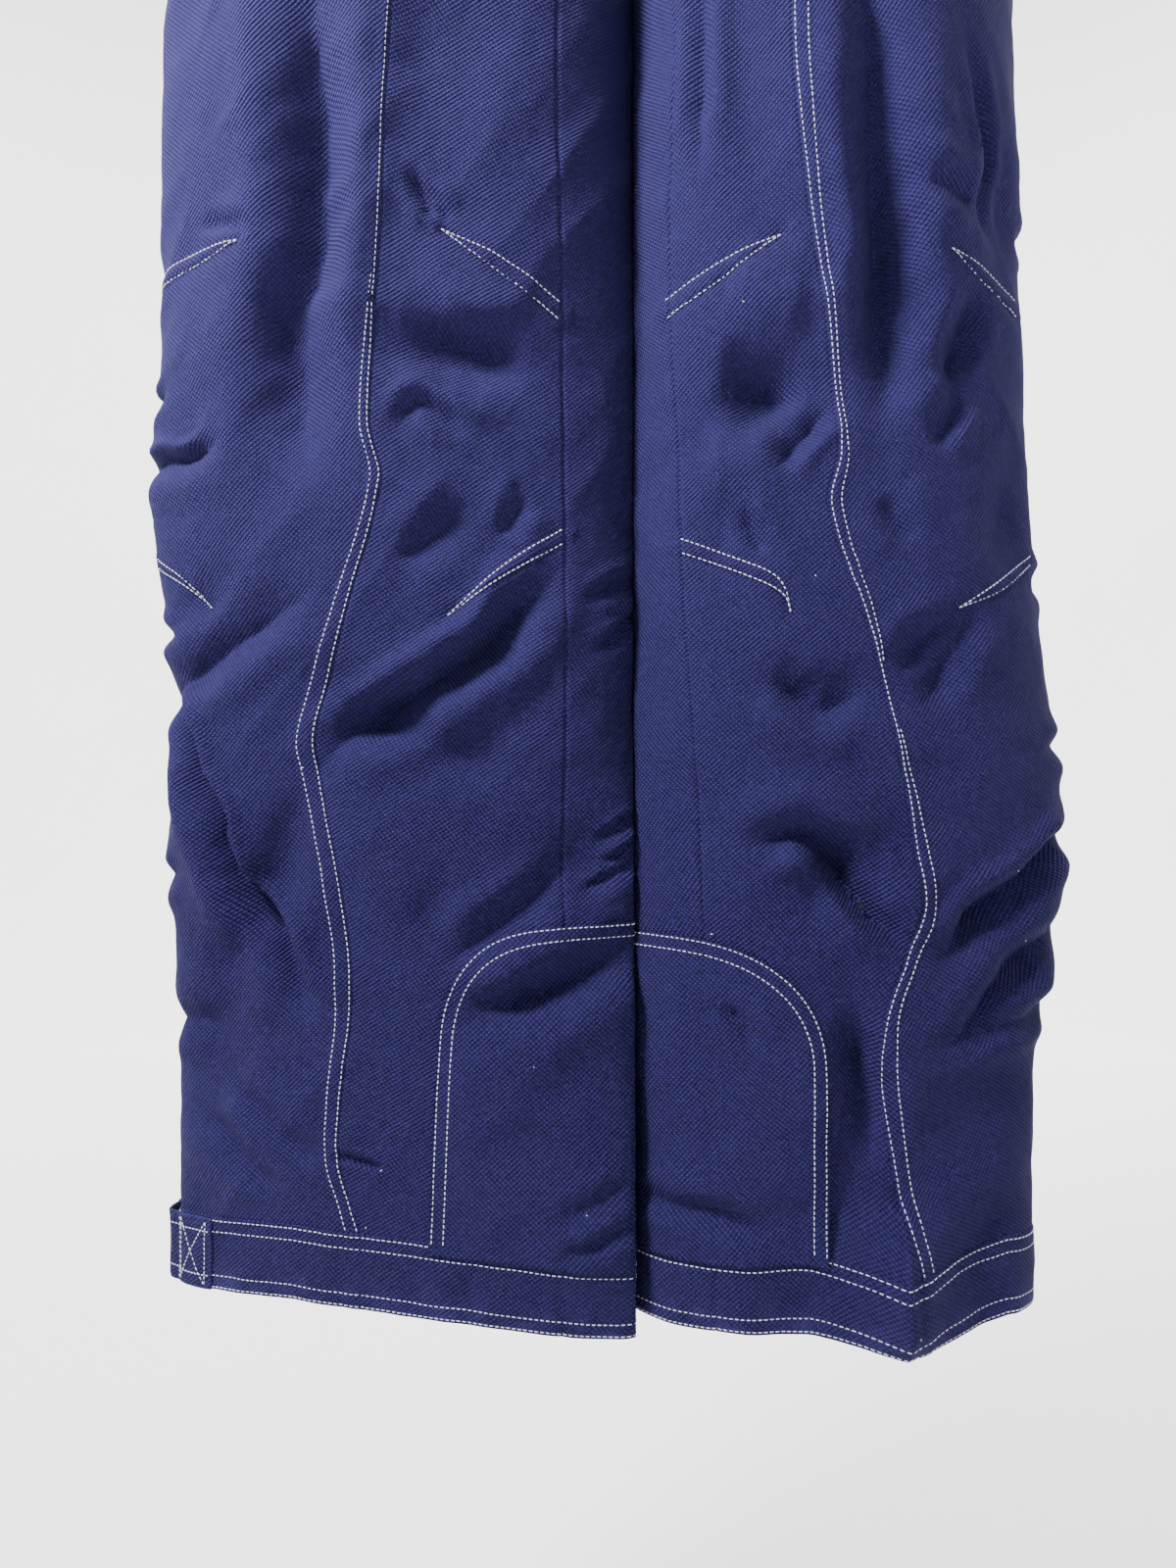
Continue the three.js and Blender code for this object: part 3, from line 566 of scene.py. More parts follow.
def add_node(tree, kind, **values):
    made = tree.nodes.new(kind)
    for key, value in values.items():
        if hasattr(made, key):
            setattr(made, key, value)
        else:
            made.inputs[key].default_value = value
    return made


def math_node(tree, operation, *values):
    made = tree.nodes.new("ShaderNodeMath")
    made.operation = operation
    for socket, value in zip(made.inputs, values):
        if isinstance(value, (int, float)):
            socket.default_value = value
        else:
            tree.links.new(value, socket)
    return made.outputs[0]


def noise_node(tree, vector, scale, detail):
    made = add_node(tree, "ShaderNodeTexNoise", Scale=scale, Detail=detail)
    tree.links.new(vector, made.inputs["Vector"])
    return made.outputs["Fac"]


def separated(tree, vector):
    """The x, y and z of a vector."""
    split = add_node(tree, "ShaderNodeSeparateXYZ")
    tree.links.new(vector, split.inputs[0])
    return split.outputs


def object_place(tree):
    return add_node(tree, "ShaderNodeTexCoord").outputs["Object"]


def cloth_place(tree):
    """Place on the flat cloth, in metres."""
    return add_node(tree, "ShaderNodeUVMap", uv_map="cloth").outputs[0]


def mix_color(tree, factor, dark, light):
    made = tree.nodes.new("ShaderNodeMix")
    made.data_type = "RGBA"
    tree.links.new(factor, made.inputs["Factor"])
    for socket, value in ((made.inputs[6], dark), (made.inputs[7], light)):
        if isinstance(value, tuple):
            socket.default_value = (*value, 1)
        else:
            tree.links.new(value, socket)
    return made.outputs[2]


def add_bump(tree, shader, height, distance, strength=1.0):
    bump = add_node(tree, "ShaderNodeBump", Strength=strength, Distance=distance)
    tree.links.new(height, bump.inputs["Height"])
    tree.links.new(bump.outputs[0], shader.inputs["Normal"])


def wave(tree, along, pitch):
    """A sine from 0 to 1 that repeats every pitch metres of the value along."""
    sine = math_node(tree, "SINE", math_node(tree, "MULTIPLY", along, 2 * math.pi / pitch))
    return math_node(tree, "MULTIPLY_ADD", sine, 0.5, 0.5)


RIB_PITCH = 0.0020  # metres between the weave's diagonal ribs
WEAVE_DARK, WEAVE_LIGHT = (0.0004, 0.0003, 0.004), (0.0185, 0.0140, 0.082)
# the paler colour that rubbed and fading cloth goes to, also used as painted light on the upper legs
WEAVE_PALE_FOR_WEAR_AND_LIGHT = (0.026, 0.0225, 0.094)


def slanted(tree, u, v, across, up):
    """The distance along a slant: across * u + up * v."""
    return math_node(tree, "MULTIPLY_ADD", v, up, math_node(tree, "MULTIPLY", u, across))


def weave_height(tree, cloth, rising, falling):
    """Two crossing diagonal ribs, one or the other stronger in patches, that break into cells."""
    rib_a, rib_b = wave(tree, rising, RIB_PITCH), wave(tree, falling, RIB_PITCH)
    leaning = math_node(tree, "MULTIPLY_ADD", noise_node(tree, cloth, 26.0, 2.0), 2.2, -0.6)
    leaning.node.use_clamp = True
    ribs = add_node(tree, "ShaderNodeMix")
    tree.links.new(leaning, ribs.inputs["Factor"])
    tree.links.new(rib_a, ribs.inputs[2])
    tree.links.new(rib_b, ribs.inputs[3])
    cells = math_node(tree, "MULTIPLY", rib_a, rib_b)
    return math_node(tree, "MULTIPLY_ADD", cells, 0.6,
                     math_node(tree, "MULTIPLY", ribs.outputs[0], 0.55))


def shell_material():
    """Coarse navy weave with paler yarns, fading in patches and where the cloth is rubbed, with painted
    light that also makes it paler from the shins up.
    """
    material, tree, shader = make_material("shell_weave", (0.02, 0.022, 0.10), 0.85, sheen=0.006)
    cloth = cloth_place(tree)
    u, v, _ = separated(tree, cloth)
    rising = slanted(tree, u, v, 0.64, 0.77)
    falling = slanted(tree, u, v, 0.70, -0.71)
    weave = weave_height(tree, cloth, rising, falling)
    stretched = add_node(tree, "ShaderNodeCombineXYZ")
    tree.links.new(math_node(tree, "MULTIPLY", rising, 420.0), stretched.inputs[0])
    tree.links.new(math_node(tree, "MULTIPLY", falling, 190.0), stretched.inputs[1])
    yarn = noise_node(tree, stretched.outputs[0], 1.0, 2.0)
    tone = math_node(tree, "MULTIPLY_ADD", yarn, 0.65,
                     math_node(tree, "MULTIPLY_ADD", weave, 0.95, -0.2))
    color = mix_color(tree, tone, WEAVE_DARK, WEAVE_LIGHT)
    lightening = math_node(tree, "MULTIPLY_ADD", noise_node(tree, cloth, 9.0, 3.0), 0.5, -0.12)
    # the point attribute holds the rubbed edges and the painted light of the upper legs
    wear_and_light_node = add_node(tree, "ShaderNodeAttribute", attribute_name="wear")
    pale = math_node(tree, "MAXIMUM", lightening, wear_and_light_node.outputs["Fac"])
    tree.links.new(mix_color(tree, pale, color, WEAVE_PALE_FOR_WEAR_AND_LIGHT), shader.inputs["Base Color"])
    add_bump(tree, shader, math_node(tree, "MULTIPLY_ADD", yarn, 0.5, weave), 0.0008)
    return material


def thread_material():
    """Pale twisted thread."""
    material, tree, shader = make_material("thread", (0.5, 0.51, 0.58), 0.55, sheen=0.2)
    fuzz = noise_node(tree, object_place(tree), 1400.0, 2.0)
    color = mix_color(tree, fuzz, (0.26, 0.27, 0.36), (0.60, 0.61, 0.68))
    tree.links.new(color, shader.inputs["Base Color"])
    add_bump(tree, shader, fuzz, 0.0002, 0.7)
    return material


def plain_weave(name, color, thread_pitch):
    """A plain dark woven or knitted cloth."""
    material, tree, shader = make_material(name, color, 0.6, sheen=0.02)
    cloth = cloth_place(tree)
    u, v, _ = separated(tree, cloth)
    weave = math_node(tree, "ADD", wave(tree, u, thread_pitch), wave(tree, v, thread_pitch))
    cloudy = noise_node(tree, cloth, 30.0, 3.0)
    dark, light = tuple(0.6 * c for c in color), tuple(1.4 * c for c in color)
    tree.links.new(mix_color(tree, cloudy, dark, light), shader.inputs["Base Color"])
    add_bump(tree, shader, weave, thread_pitch / 4, 0.6)
    return material


def metal_material(name, color, roughness):
    """Plated metal with fine scratches and duller patches."""
    material, tree, shader = make_material(name, color, roughness, metallic=1.0)
    patchy = noise_node(tree, object_place(tree), 260.0, 4.0)
    dark, light = tuple(0.75 * c for c in color), tuple(1.2 * c for c in color)
    tree.links.new(mix_color(tree, patchy, dark, light), shader.inputs["Base Color"])
    add_bump(tree, shader, patchy, 0.00008, 0.4)
    return material


def studio_material():
    """Pale floor, with painted shade that makes it a little darker under the pants."""
    material, tree, shader = make_material("studio_white_painted_shade", (0.80, 0.80, 0.79), 0.9)
    at = object_place(tree)
    far = mix_color(tree, noise_node(tree, at, 1.5, 2.0), (0.78, 0.78, 0.77), (0.83, 0.83, 0.82))
    x, y, _ = separated(tree, at)
    # painted shade: grey at the middle, under the pants, rising to the pale floor colour about 2.5 m
    # out
    squares = [math_node(tree, "MULTIPLY", n, n) for n in (x, y)]
    away = math_node(tree, "MULTIPLY", math_node(tree, "ADD", *squares), 0.16)
    color = mix_color(tree, away, (0.60, 0.60, 0.60), far)
    tree.links.new(color, shader.inputs["Base Color"])
    return material


# ---- meshes ----
def make_mesh(name, points, faces, material, uv=None, wear=None, normals=None):
    """A smooth mesh object from points in millimetres. Faces whose corners all have a normal get
    it; the others keep their own."""
    mesh = bpy.data.meshes.new(name)
    mesh.from_pydata((points * MM).tolist(), [], faces)
    mesh.polygons.foreach_set("use_smooth", np.ones(len(mesh.polygons), bool))
    loops = np.zeros(len(mesh.loops), int)
    mesh.loops.foreach_get("vertex_index", loops)
    if uv is not None:
        layer = mesh.uv_layers.new(name="cloth")
        layer.data.foreach_set("uv", (uv * MM)[loops].astype(np.float32).ravel())
    # paleness from rubbed edges and painted light, kept as a point attribute for the shell material
    if wear is not None:
        layer = mesh.attributes.new("wear", "FLOAT", "POINT")
        layer.data.foreach_set("value", wear.astype(np.float32))
    if normals is not None:
        flat = np.zeros((len(mesh.loops), 3))
        count = len(normals)
        totals = np.array([len(f) for f in faces])
        owner = np.repeat(np.arange(len(faces)), totals)
        outer = np.bincount(owner, loops >= count) == 0
        inner = np.bincount(owner, loops < count) == 0
        flat[outer[owner]] = normals[loops[outer[owner]]]
        flat[inner[owner]] = -normals[loops[inner[owner]] - count]
        mesh.normals_split_custom_set(flat.tolist())
    mesh.materials.append(material)
    made = bpy.data.objects.new(name, mesh)
    bpy.context.scene.collection.objects.link(made)
    return made


def layered_faces(rows, columns, keep=None):
    """Faces of a thin closed cloth: an outer grid, an inner grid and rims round all that is kept.
    keep marks the cells of the grid that there are."""
    at = np.arange(rows * columns).reshape(rows, columns)
    if keep is None:
        keep = np.ones((rows - 1, columns - 1), bool)
    cells = np.stack([at[:-1, :-1], at[:-1, 1:], at[1:, 1:], at[1:, :-1]], -1)
    outer = cells[keep]
    inner = outer[:, ::-1] + rows * columns
    above = np.pad(keep, ((1, 0), (0, 0)))
    below = np.pad(keep, ((0, 1), (0, 0)))
    before = np.pad(keep, ((0, 0), (1, 0)))
    after = np.pad(keep, ((0, 0), (0, 1)))
    rim = []
    for a, b, here in ((at[:, 1:], at[:, :-1], below & ~above), (at[:, :-1], at[:, 1:], above & ~below),
                       (at[:-1], at[1:], after & ~before), (at[1:], at[:-1], before & ~after)):
        a, b = a[here], b[here]
        rim.append(np.stack([a, b, b + rows * columns, a + rows * columns], -1))
    return np.vstack([outer, inner] + rim)


def facing_out(points, faces):
    """The faces, turned over if the closed mesh that they make is inside out."""
    a, b, c = (points[faces[:, k]] for k in (0, 1, 2))
    d = points[faces[:, 3]]
    volume = (a * np.cross(b, c)).sum() + (a * np.cross(c, d)).sum()
    return faces if volume > 0 else faces[:, ::-1]


def graded(length, pitch, fine, reach):
    """Shares from 0 to 1 along a length, fine apart within reach of both ends and pitch between."""
    steps, at = [], 0.0
    while at < length:
        near_end = min(at, length - at)
        step = fine + (pitch - fine) * min(max(near_end - reach, 0) / 8, 1)
        steps.append(at)
        at += step
    return np.array(steps + [length]) / length


def closed_cloth(name, outside, inside, uv, material, keep=None, **looks):
    """A thin closed piece between two grids of points, with the same uv on both of its faces."""
    points = np.vstack([outside.reshape(-1, 3), inside.reshape(-1, 3)])
    faces = facing_out(points, layered_faces(*outside.shape[:2], keep))
    return make_mesh(name, points, faces.tolist(), material, np.vstack([uv, uv]), **looks)


def turned_uv(u, z, degrees=0):
    a = math.radians(degrees)
    return np.stack([u * math.cos(a) + z * math.sin(a), z * math.cos(a) - u * math.sin(a)], -1)


def grid_normals(points, outwards):
    """Unit normals of a grid of points, on the side that outwards points to."""
    normals = np.cross(np.gradient(points, axis=0), np.gradient(points, axis=1))
    normals /= np.maximum(np.linalg.norm(normals, axis=-1, keepdims=True), 1e-9)
    return normals * np.sign((normals * outwards).sum(-1, keepdims=True))


def cloth_panel(name, leg, sides, top, bottom, material, pitch=FRONT_PITCH, fine=0.7, grain=0,
                height=0.0, cloth=SHELL_CLOTH, hole=None):
    """One cut of cloth between two side lines (functions of z that give s). hole marks, for given
    points, where the cloth is cut away."""
    middle = (top + bottom) / 2
    s0, s1 = (float(side(np.array([middle]))[0]) for side in sides)
    width = float(around(leg, s1, middle) - around(leg, s0, middle))
    t = graded(width, pitch, fine, 9)[None, :]
    rows = int((top - bottom) / pitch) + 1
    step = (top - bottom) / (rows - 1)
    z = np.linspace(top + step, bottom - step, rows + 2)[:, None]  # one row more at each end
    left, right = sides[0](z), sides[1](z)
    s = left + (right - left) * t
    z = z + 0 * s
    outside = place(leg, s, z, height)
    out = outward(leg, s, z)
    normals = grid_normals(outside, out)[1:-1]
    outside, out, s, z, left, right = (a[1:-1] for a in (outside, out, s, z, left, right))
    keep = None
    if hole is not None:
        keep = ~hole((outside[:-1, :-1] + outside[1:, 1:]) / 2)
    uv = turned_uv(around(leg, s, z).ravel(), z.ravel(), grain)
    made = closed_cloth(name, outside, outside - out * cloth, uv, material, keep,
                        wear=np.tile(edge_wear(leg, s, z).ravel(), 2),
                        normals=normals.reshape(-1, 3))
    widths = around(leg, right[:, 0], z[:, 0]) - around(leg, left[:, 0], z[:, 0])
    return made


def edge_wear(leg, s, z):
    """How much paler the cloth is: rubbed along the hem and the outer edge, and more from the shins up,
    where painted light stands in for the stronger light on the upper legs.
    """
    hem = np.exp(-(z + LENGTH) / 14)
    edge = np.exp(-((around(leg, s, z) - around(leg, 1 + 0 * s, z)) / 7) ** 2) * 0.5
    patchy = 0.5 + 0.5 * noise(around(leg, s, z), z, 9, 71)
    # painted light: the cloth is made paler from the shins up, standing in for the stronger light on
    # the upper legs
    lightening = 0.4 * smoothstep((z + 980) / 480)
    return np.clip((0.9 * hem + 0.35 * edge) * patchy + lightening, 0, 1)


# ---- stitches ----
STITCH_SIDES = 6
STITCH_STATIONS = np.array([[0, 0.25, -0.45], [0.12, 0.8, 0.05], [0.5, 1.0, 0.22], [0.88, 0.8, 0.05],
                            [1, 0.25, -0.45]])  # share of length, of radius, and height over cloth


class Stitches:
    """Collects the stitches of one moving part of the pants into one mesh."""

    def __init__(self):
        self.points = []
        self.count = 0

    def add(self, start, end, normal, radius):
        """Stitches from start to end points (arrays, millimetres) on cloth with that normal."""
        along = end - start
        along /= np.linalg.norm(along, axis=1, keepdims=True)
        side = np.cross(normal, along)
        side /= np.linalg.norm(side, axis=1, keepdims=True)
        up = np.cross(along, side)
        angle = 2 * np.pi * np.arange(STITCH_SIDES) / STITCH_SIDES
        rings = []
        for share, girth, lift in STITCH_STATIONS:
            centre = start + (end - start) * share + up * lift
            rings.append(centre[:, None] + radius * girth * (
                side[:, None] * np.cos(angle)[:, None] + 0.8 * up[:, None] * np.sin(angle)[:, None]))
        self.points.append(np.stack(rings, 1).reshape(-1, 3))
        self.count += len(start)

    def make(self, name):
        rings = len(STITCH_STATIONS)
        k = np.arange(STITCH_SIDES)
        after = (k + 1) % STITCH_SIDES
        quads = []
        for r in range(rings - 1):
            low, high = r * STITCH_SIDES, (r + 1) * STITCH_SIDES
            quads.append(np.stack([low + k, low + after, high + after, high + k], -1))
        quads = np.vstack(quads)
        per = rings * STITCH_SIDES
        offsets = (np.arange(self.count) * per)[:, None, None]
        faces = (quads[None] + offsets).reshape(-1, 4).tolist()
        caps = np.stack([k[::-1], k + per - STITCH_SIDES])
        faces += (caps[None] + offsets).reshape(-1, STITCH_SIDES).tolist()
        made = make_mesh(name, np.vstack(self.points), faces, THREAD)
        return made


def sew(stitches, leg, line, height=0.0, radius=0.34, pitch=STITCH_PITCH, fill=0.74):
    """A row of stitches along a line of (distance round the leg, height) points."""
    line = np.asarray(line, float)
    along = lengths_along(line)
    count = max(int(round(along[-1] / pitch)), 1)
    pitch = along[-1] / count
    starts = np.arange(count) * pitch + pitch * (1 - fill) / 2
    ends = starts + pitch * fill
    found = []
    for at in (starts, ends, (starts + ends) / 2):
        u, z = np.interp(at, along, line[:, 0]), np.interp(at, along, line[:, 1])
        s = s_at(leg, u, z)
        found.append(place(leg, s, z, height))
        normal = outward(leg, s, z)
    stitches.add(found[0], found[1], normal, radius)


def split_sew(pair, leg, line, **options):
    """Sews a row that may cross from the upper to the lower mesh."""
    line = np.asarray(line, float)
    for stitches, keep in zip(pair, (line[:, 1] > SPLIT_ROW_Z, line[:, 1] <= SPLIT_ROW_Z + 3)):
        if keep.sum() > 1:
            sew(stitches, leg, line[keep], **options)


# ---- straight frames for zips, and thin pieces of cloth ----
class Frame:
    """A place and three directions: x sideways, y into the pants and z up."""

    def __init__(self, origin, inward, up):
        self.up = up / np.linalg.norm(up)
        inward = inward - self.up * (inward @ self.up)
        self.inward = inward / np.linalg.norm(inward)
        self.sideways = np.cross(self.inward, self.up)
        self.origin = origin
        self.length = float(np.linalg.norm(up))

    def at(self, x, y, z):
        return (self.origin + np.multiply.outer(x, self.sideways) + np.multiply.outer(y, self.inward)
                + np.multiply.outer(z, self.up))

    def measure(self, points):
        """The points in this frame's own x, y and z."""
        way = points - self.origin
        return way @ self.sideways, way @ self.inward, way @ self.up


def pocket_frame(leg):
    """The straight hand-pocket zip, proud of the cloth by its bulge at the middle."""
    top, bottom = skin(leg, 0.48, -64), skin(leg, 0.66, -180)
    frame_of = Frame(top, -outward(leg, 0.57, -122), top - bottom)
    bulge = (skin(leg, 0.57, -122) - (top + bottom) / 2) @ -frame_of.inward
    frame_of.origin = top - frame_of.inward * bulge
    return frame_of


def fly_frame():
    top, bottom = skin(RIGHT, 0, -BAND_HEIGHT - 4), skin(RIGHT, 0, FLY_BOTTOM_Z)
    up = (top - bottom) / np.linalg.norm(top - bottom)
    return Frame(top, np.cross(up, [1.0, 0, 0]), top - bottom)


POCKET_SLOT, LIP_WIDTH = 10, 8


def pocket_slot(leg):
    """A test for points in the opening of a hand pocket."""
    at = pocket_frame(leg)

    def hole(points):
        x, _, z = at.measure(points)
        return (np.abs(x) < POCKET_SLOT / 2) & (z < -1) & (z > 1 - at.length)

    return hole


def soft_slab(name, material, point_at, size, pitch=3.0, rounded=0.9):
    """A thin closed piece with rounded edges. point_at gives points for shares a along and b across
    it, and c from its inner face (0) to its outer face (1)."""
    length, width = size
    a = graded(length, pitch, 0.45, 1.2)[None, :]
    b = graded(width, pitch, 0.45, 1.2)[:, None]
    a, b = np.broadcast_arrays(a, b)
    border = np.minimum(np.minimum(a, 1 - a) * length, np.minimum(b, 1 - b) * width)
    full = np.sqrt(1 - (1 - np.clip(border / rounded, 0, 1)) ** 2)
    full = 0.2 + 0.8 * full
    uv = turned_uv(a.ravel() * length, b.ravel() * width)
    made = closed_cloth(name, point_at(a, b, 0.5 + 0.5 * full), point_at(a, b, 0.5 - 0.5 * full), uv,
                        material, wear=np.tile((0.5 * np.exp(-border / 1.5)).ravel(), 2))
    return made


def lathed(name, material, profile, origin, axis, turns=40):
    """A round piece: profile is (radius, distance along the axis) from one end to the other."""
    axis = axis / np.linalg.norm(axis)
    first = np.cross(axis, [0, 0, 1.0])
    first /= np.linalg.norm(first)
    second = np.cross(axis, first)
    angle = 2 * np.pi * np.arange(turns) / turns
    rings = [origin + axis * h + r * (np.multiply.outer(np.cos(angle), first)
                                      + np.multiply.outer(np.sin(angle), second))
             for r, h in profile]
    points = np.vstack(rings)
    k = np.arange(turns)
    after = (k + 1) % turns
    faces = []
    for r in range(len(profile) - 1):
        low, high = r * turns, (r + 1) * turns
        faces += np.stack([low + k, low + after, high + after, high + k], -1).tolist()
    faces += [k[::-1].tolist(), (k + (len(profile) - 1) * turns).tolist()]
    return make_mesh(name, points, faces, material)


def sew_over(stitches, point_at, line, radius=0.34, pitch=STITCH_PITCH, fill=0.76):
    """Stitches along a line of (a, b) shares on a piece whose outer face is point_at(a, b, 1)."""
    line = np.asarray(line, float)
    fine = np.linspace(0, 1, 60)
    at = np.linspace(0, 1, len(line))
    a, b = np.interp(fine, at, line[:, 0]), np.interp(fine, at, line[:, 1])
    points = point_at(a, b, np.ones(60))
    along = lengths_along(points)
    count = max(int(round(along[-1] / pitch)), 1)
    step = along[-1] / count
    starts = np.arange(count) * step + step * (1 - fill) / 2
    found = [np.stack([np.interp(t, along, points[:, k]) for k in range(3)], -1)
             for t in (starts, starts + step * fill)]
    middle = np.interp(starts + step * fill / 2, along, fine)
    a, b = np.interp(middle, at, line[:, 0]), np.interp(middle, at, line[:, 1])
    outer, inner = point_at(a, b, np.ones(count)), point_at(a, b, np.zeros(count))
    normal = outer - inner
    normal /= np.linalg.norm(normal, axis=1, keepdims=True)
    stitches.add(found[0], found[1], normal, radius)


def sew_border(stitches, point_at, size, inset=2.0, sides="abcd"):
    """A row of stitches inset from the sides of a piece: a bottom, b right, c top and d left."""
    u, v = inset / size[0], inset / size[1]
    corners = {"a": ((u, v), (1 - u, v)), "b": ((1 - u, v), (1 - u, 1 - v)),
               "c": ((1 - u, 1 - v), (u, 1 - v)), "d": ((u, 1 - v), (u, v))}
    for side in sides:
        sew_over(stitches, point_at, corners[side])


# ---- waist ----
def waist_point(turn, z, height):
    """Point round the waist: turn runs from the middle of the front over the right side (0..2) and
    back over the left side (2..4)."""
    turn, z, height = np.broadcast_arrays(turn, z, height)
    on_right = turn <= 2
    s = np.where(on_right, turn, 4 - turn)
    right = skin(RIGHT, s, z) + outward(RIGHT, s, z) * height[..., None]
    left = skin(LEFT, s, z) + outward(LEFT, s, z) * height[..., None]
    return np.where(on_right[..., None], right, left)


BAND_CLOTH = 4.0


def make_waistband(stitches):
    gap = float(across_to(RIGHT, FLY_SLOT / 2, -BAND_HEIGHT / 2))
    length = float(around(RIGHT, 2, -19) + around(LEFT, 2, -19)) - FLY_SLOT

    def point_at(a, b, c):
        turn = gap + (4 - 2 * gap) * a
        ripple = 0.35 * noise(a * length, b * BAND_HEIGHT * 0.6, 17, 61) * np.sin(np.pi * b)
        return waist_point(turn, -BAND_HEIGHT * (1 - b), -BAND_CLOTH * (1 - c) + ripple * c)

    size = (length, BAND_HEIGHT)
    band = soft_slab("waistband_cloth", SHELL, point_at, size, rounded=1.9)
    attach(band, "seat")
    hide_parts("waistband")
    for share in (2.2 / BAND_HEIGHT, 1 - 2.2 / BAND_HEIGHT, 1 - 8.6 / BAND_HEIGHT):
        ends = np.linspace(0.004, 0.996, 60)
        for k in range(6):
            part = ends[k * 10:k * 10 + 11]
            sew_over(stitches, point_at, [(e, share) for e in part])


TAB_TOP, TAB_BOTTOM = -2, -36
TAB_LEFT_X, TAB_RIGHT_X = 30, 42
SNAP_X = 28


def make_waist_tab(stitches):
    """The tab over the closed waistband, with a rounded free end, and its snap."""
    left = float(across_to(LEFT, TAB_LEFT_X, -19))
    right = float(across_to(RIGHT, TAB_RIGHT_X, -19))
    length, height = TAB_LEFT_X + TAB_RIGHT_X, TAB_TOP - TAB_BOTTOM

    def point_at(a, b, c):
        turn = -left + (left + right) * a
        from_end = (1 - a) * length
        narrow = 1 - 0.32 * (1 - np.clip(from_end / 14, 0, 1)) ** 2.4
        z = (TAB_TOP + TAB_BOTTOM) / 2 + height * (b - 0.5) * narrow
        lift = 2.6 + 2 * c
        on_right = skin(RIGHT, np.abs(turn), z) + outward(RIGHT, np.abs(turn), z) * lift[..., None]
        on_left = skin(LEFT, np.abs(turn), z) + outward(LEFT, np.abs(turn), z) * lift[..., None]
        return np.where((turn >= 0)[..., None], on_right, on_left)

    size = (length, height)
    tab = soft_slab("waist_tab_cloth", SHELL, point_at, size, pitch=2.5)
    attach(tab, "waist_tab")
    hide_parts("waist_tab")
    tab_stitches = Stitches()
    sew_border(tab_stitches, point_at, size, 2.4)
    for line in ([(0.06, 0.1), (0.2, 0.9)], [(0.06, 0.9), (0.2, 0.1)], [(0.21, 0.08), (0.21, 0.92)]):
        sew_over(tab_stitches, point_at, line)
    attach(tab_stitches.make("waist_tab_stitching"), "waist_tab")

    s = float(across_to(RIGHT, SNAP_X, -19))
    centre, normal = skin(RIGHT, s, -19), outward(RIGHT, s, -19)
    cap = lathed("waist_snap_cap_dome", SNAP, [(7.1, 4.7), (7.5, 5.1), (7.5, 5.5), (7.2, 6.0),
                 (6.3, 6.25), (5.9, 6.1), (5.2, 6.3), (3.4, 6.6), (1.5, 6.7), (0.2, 6.7)],
                 centre, normal)
    stud = lathed("waist_snap_stud_post", SNAP, [(6, 0.1), (6, 1.1), (5.6, 1.4), (3.4, 1.5), (2.6, 2),
                  (2.7, 2.3), (2.2, 2.5), (0.2, 2.5)], centre, normal)
    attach(cap, "waist_tab")
    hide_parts("waist_snap_cap")
    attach(stud, "seat")
    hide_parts("waist_snap_stud")


BELT_LOOPS = {"right_front": 0.46, "right_rear": 1.54, "centre_back": 1.999, "left_rear": 2.46,
              "left_front": 3.54}
LOOP_WIDTH, LOOP_HEIGHT, LOOP_CLOTH, LOOP_STAND_OFF = 11, 35, 1.8, 6.5


def make_belt_loop(name, turn, stitches):
    """A narrow strip, its two ends tacked flat and its middle standing off the waistband."""
    leg = RIGHT if turn <= 2 else LEFT
    s = turn if turn <= 2 else 4 - turn
    origin, out = skin(leg, s, -19), outward(leg, s, -19)
    side = np.cross(out, [0, 0, 1.0])

    def point_at(a, b, c):
        rise = smoothstep((0.5 - np.abs(a - 0.5)) * LOOP_HEIGHT / 9 - 0.45)
        height = 2.2 + LOOP_STAND_OFF * rise + LOOP_CLOTH * c
        across = LOOP_WIDTH * (b - 0.5)
        return (origin + np.multiply.outer(height, out) + np.multiply.outer(across, side)
                + np.multiply.outer(LOOP_HEIGHT * (a - 0.5), [0, 0, 1.0]))

    size = (LOOP_HEIGHT, LOOP_WIDTH)
    loop = soft_slab(f"belt_loop_{name}_strip", SHELL, point_at, size, pitch=1.2, rounded=0.8)
    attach(loop, "seat")
    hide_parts(f"belt_loop_{name}")
    for b in (0.2, 0.8):
        sew_over(stitches, point_at, [(0.04, b), (0.96, b)], radius=0.3)
    for a in (0.035, 0.06, 0.085, 0.915, 0.94, 0.965):
        sew_over(stitches, point_at, [(a, 0.06), (a, 0.94)], radius=0.36, pitch=1.5, fill=0.95)


# ---- zips ----
TAPE_WIDTH, TEETH_GAP = 11, 0.7
COIL_PITCH, COIL_RADIUS, COIL_SIDES = 1.5, 0.34, 5


def zip_tape(at, depth, side):
    """Points, faces and uv of one knitted tape, with a thinner outer edge."""
    z = np.linspace(0, -at.length, int(at.length / 2) + 1)[:, None]
    x = side * np.array([TEETH_GAP + 0.6, 2.4, 4, 6, 8, 9.6, TAPE_WIDTH - 0.2, TAPE_WIDTH])[None]
    x, z = np.broadcast_arrays(x, z)
    thin = np.where(np.abs(x) > 10.5, 0.25, 0.45)
    front, back = at.at(x, depth - thin, z), at.at(x, depth + thin, z)
    points = np.vstack([front.reshape(-1, 3), back.reshape(-1, 3)])
    uv = np.stack([x.ravel(), z.ravel()], -1)
    return points, facing_out(points, layered_faces(*x.shape)), np.vstack([uv, uv])


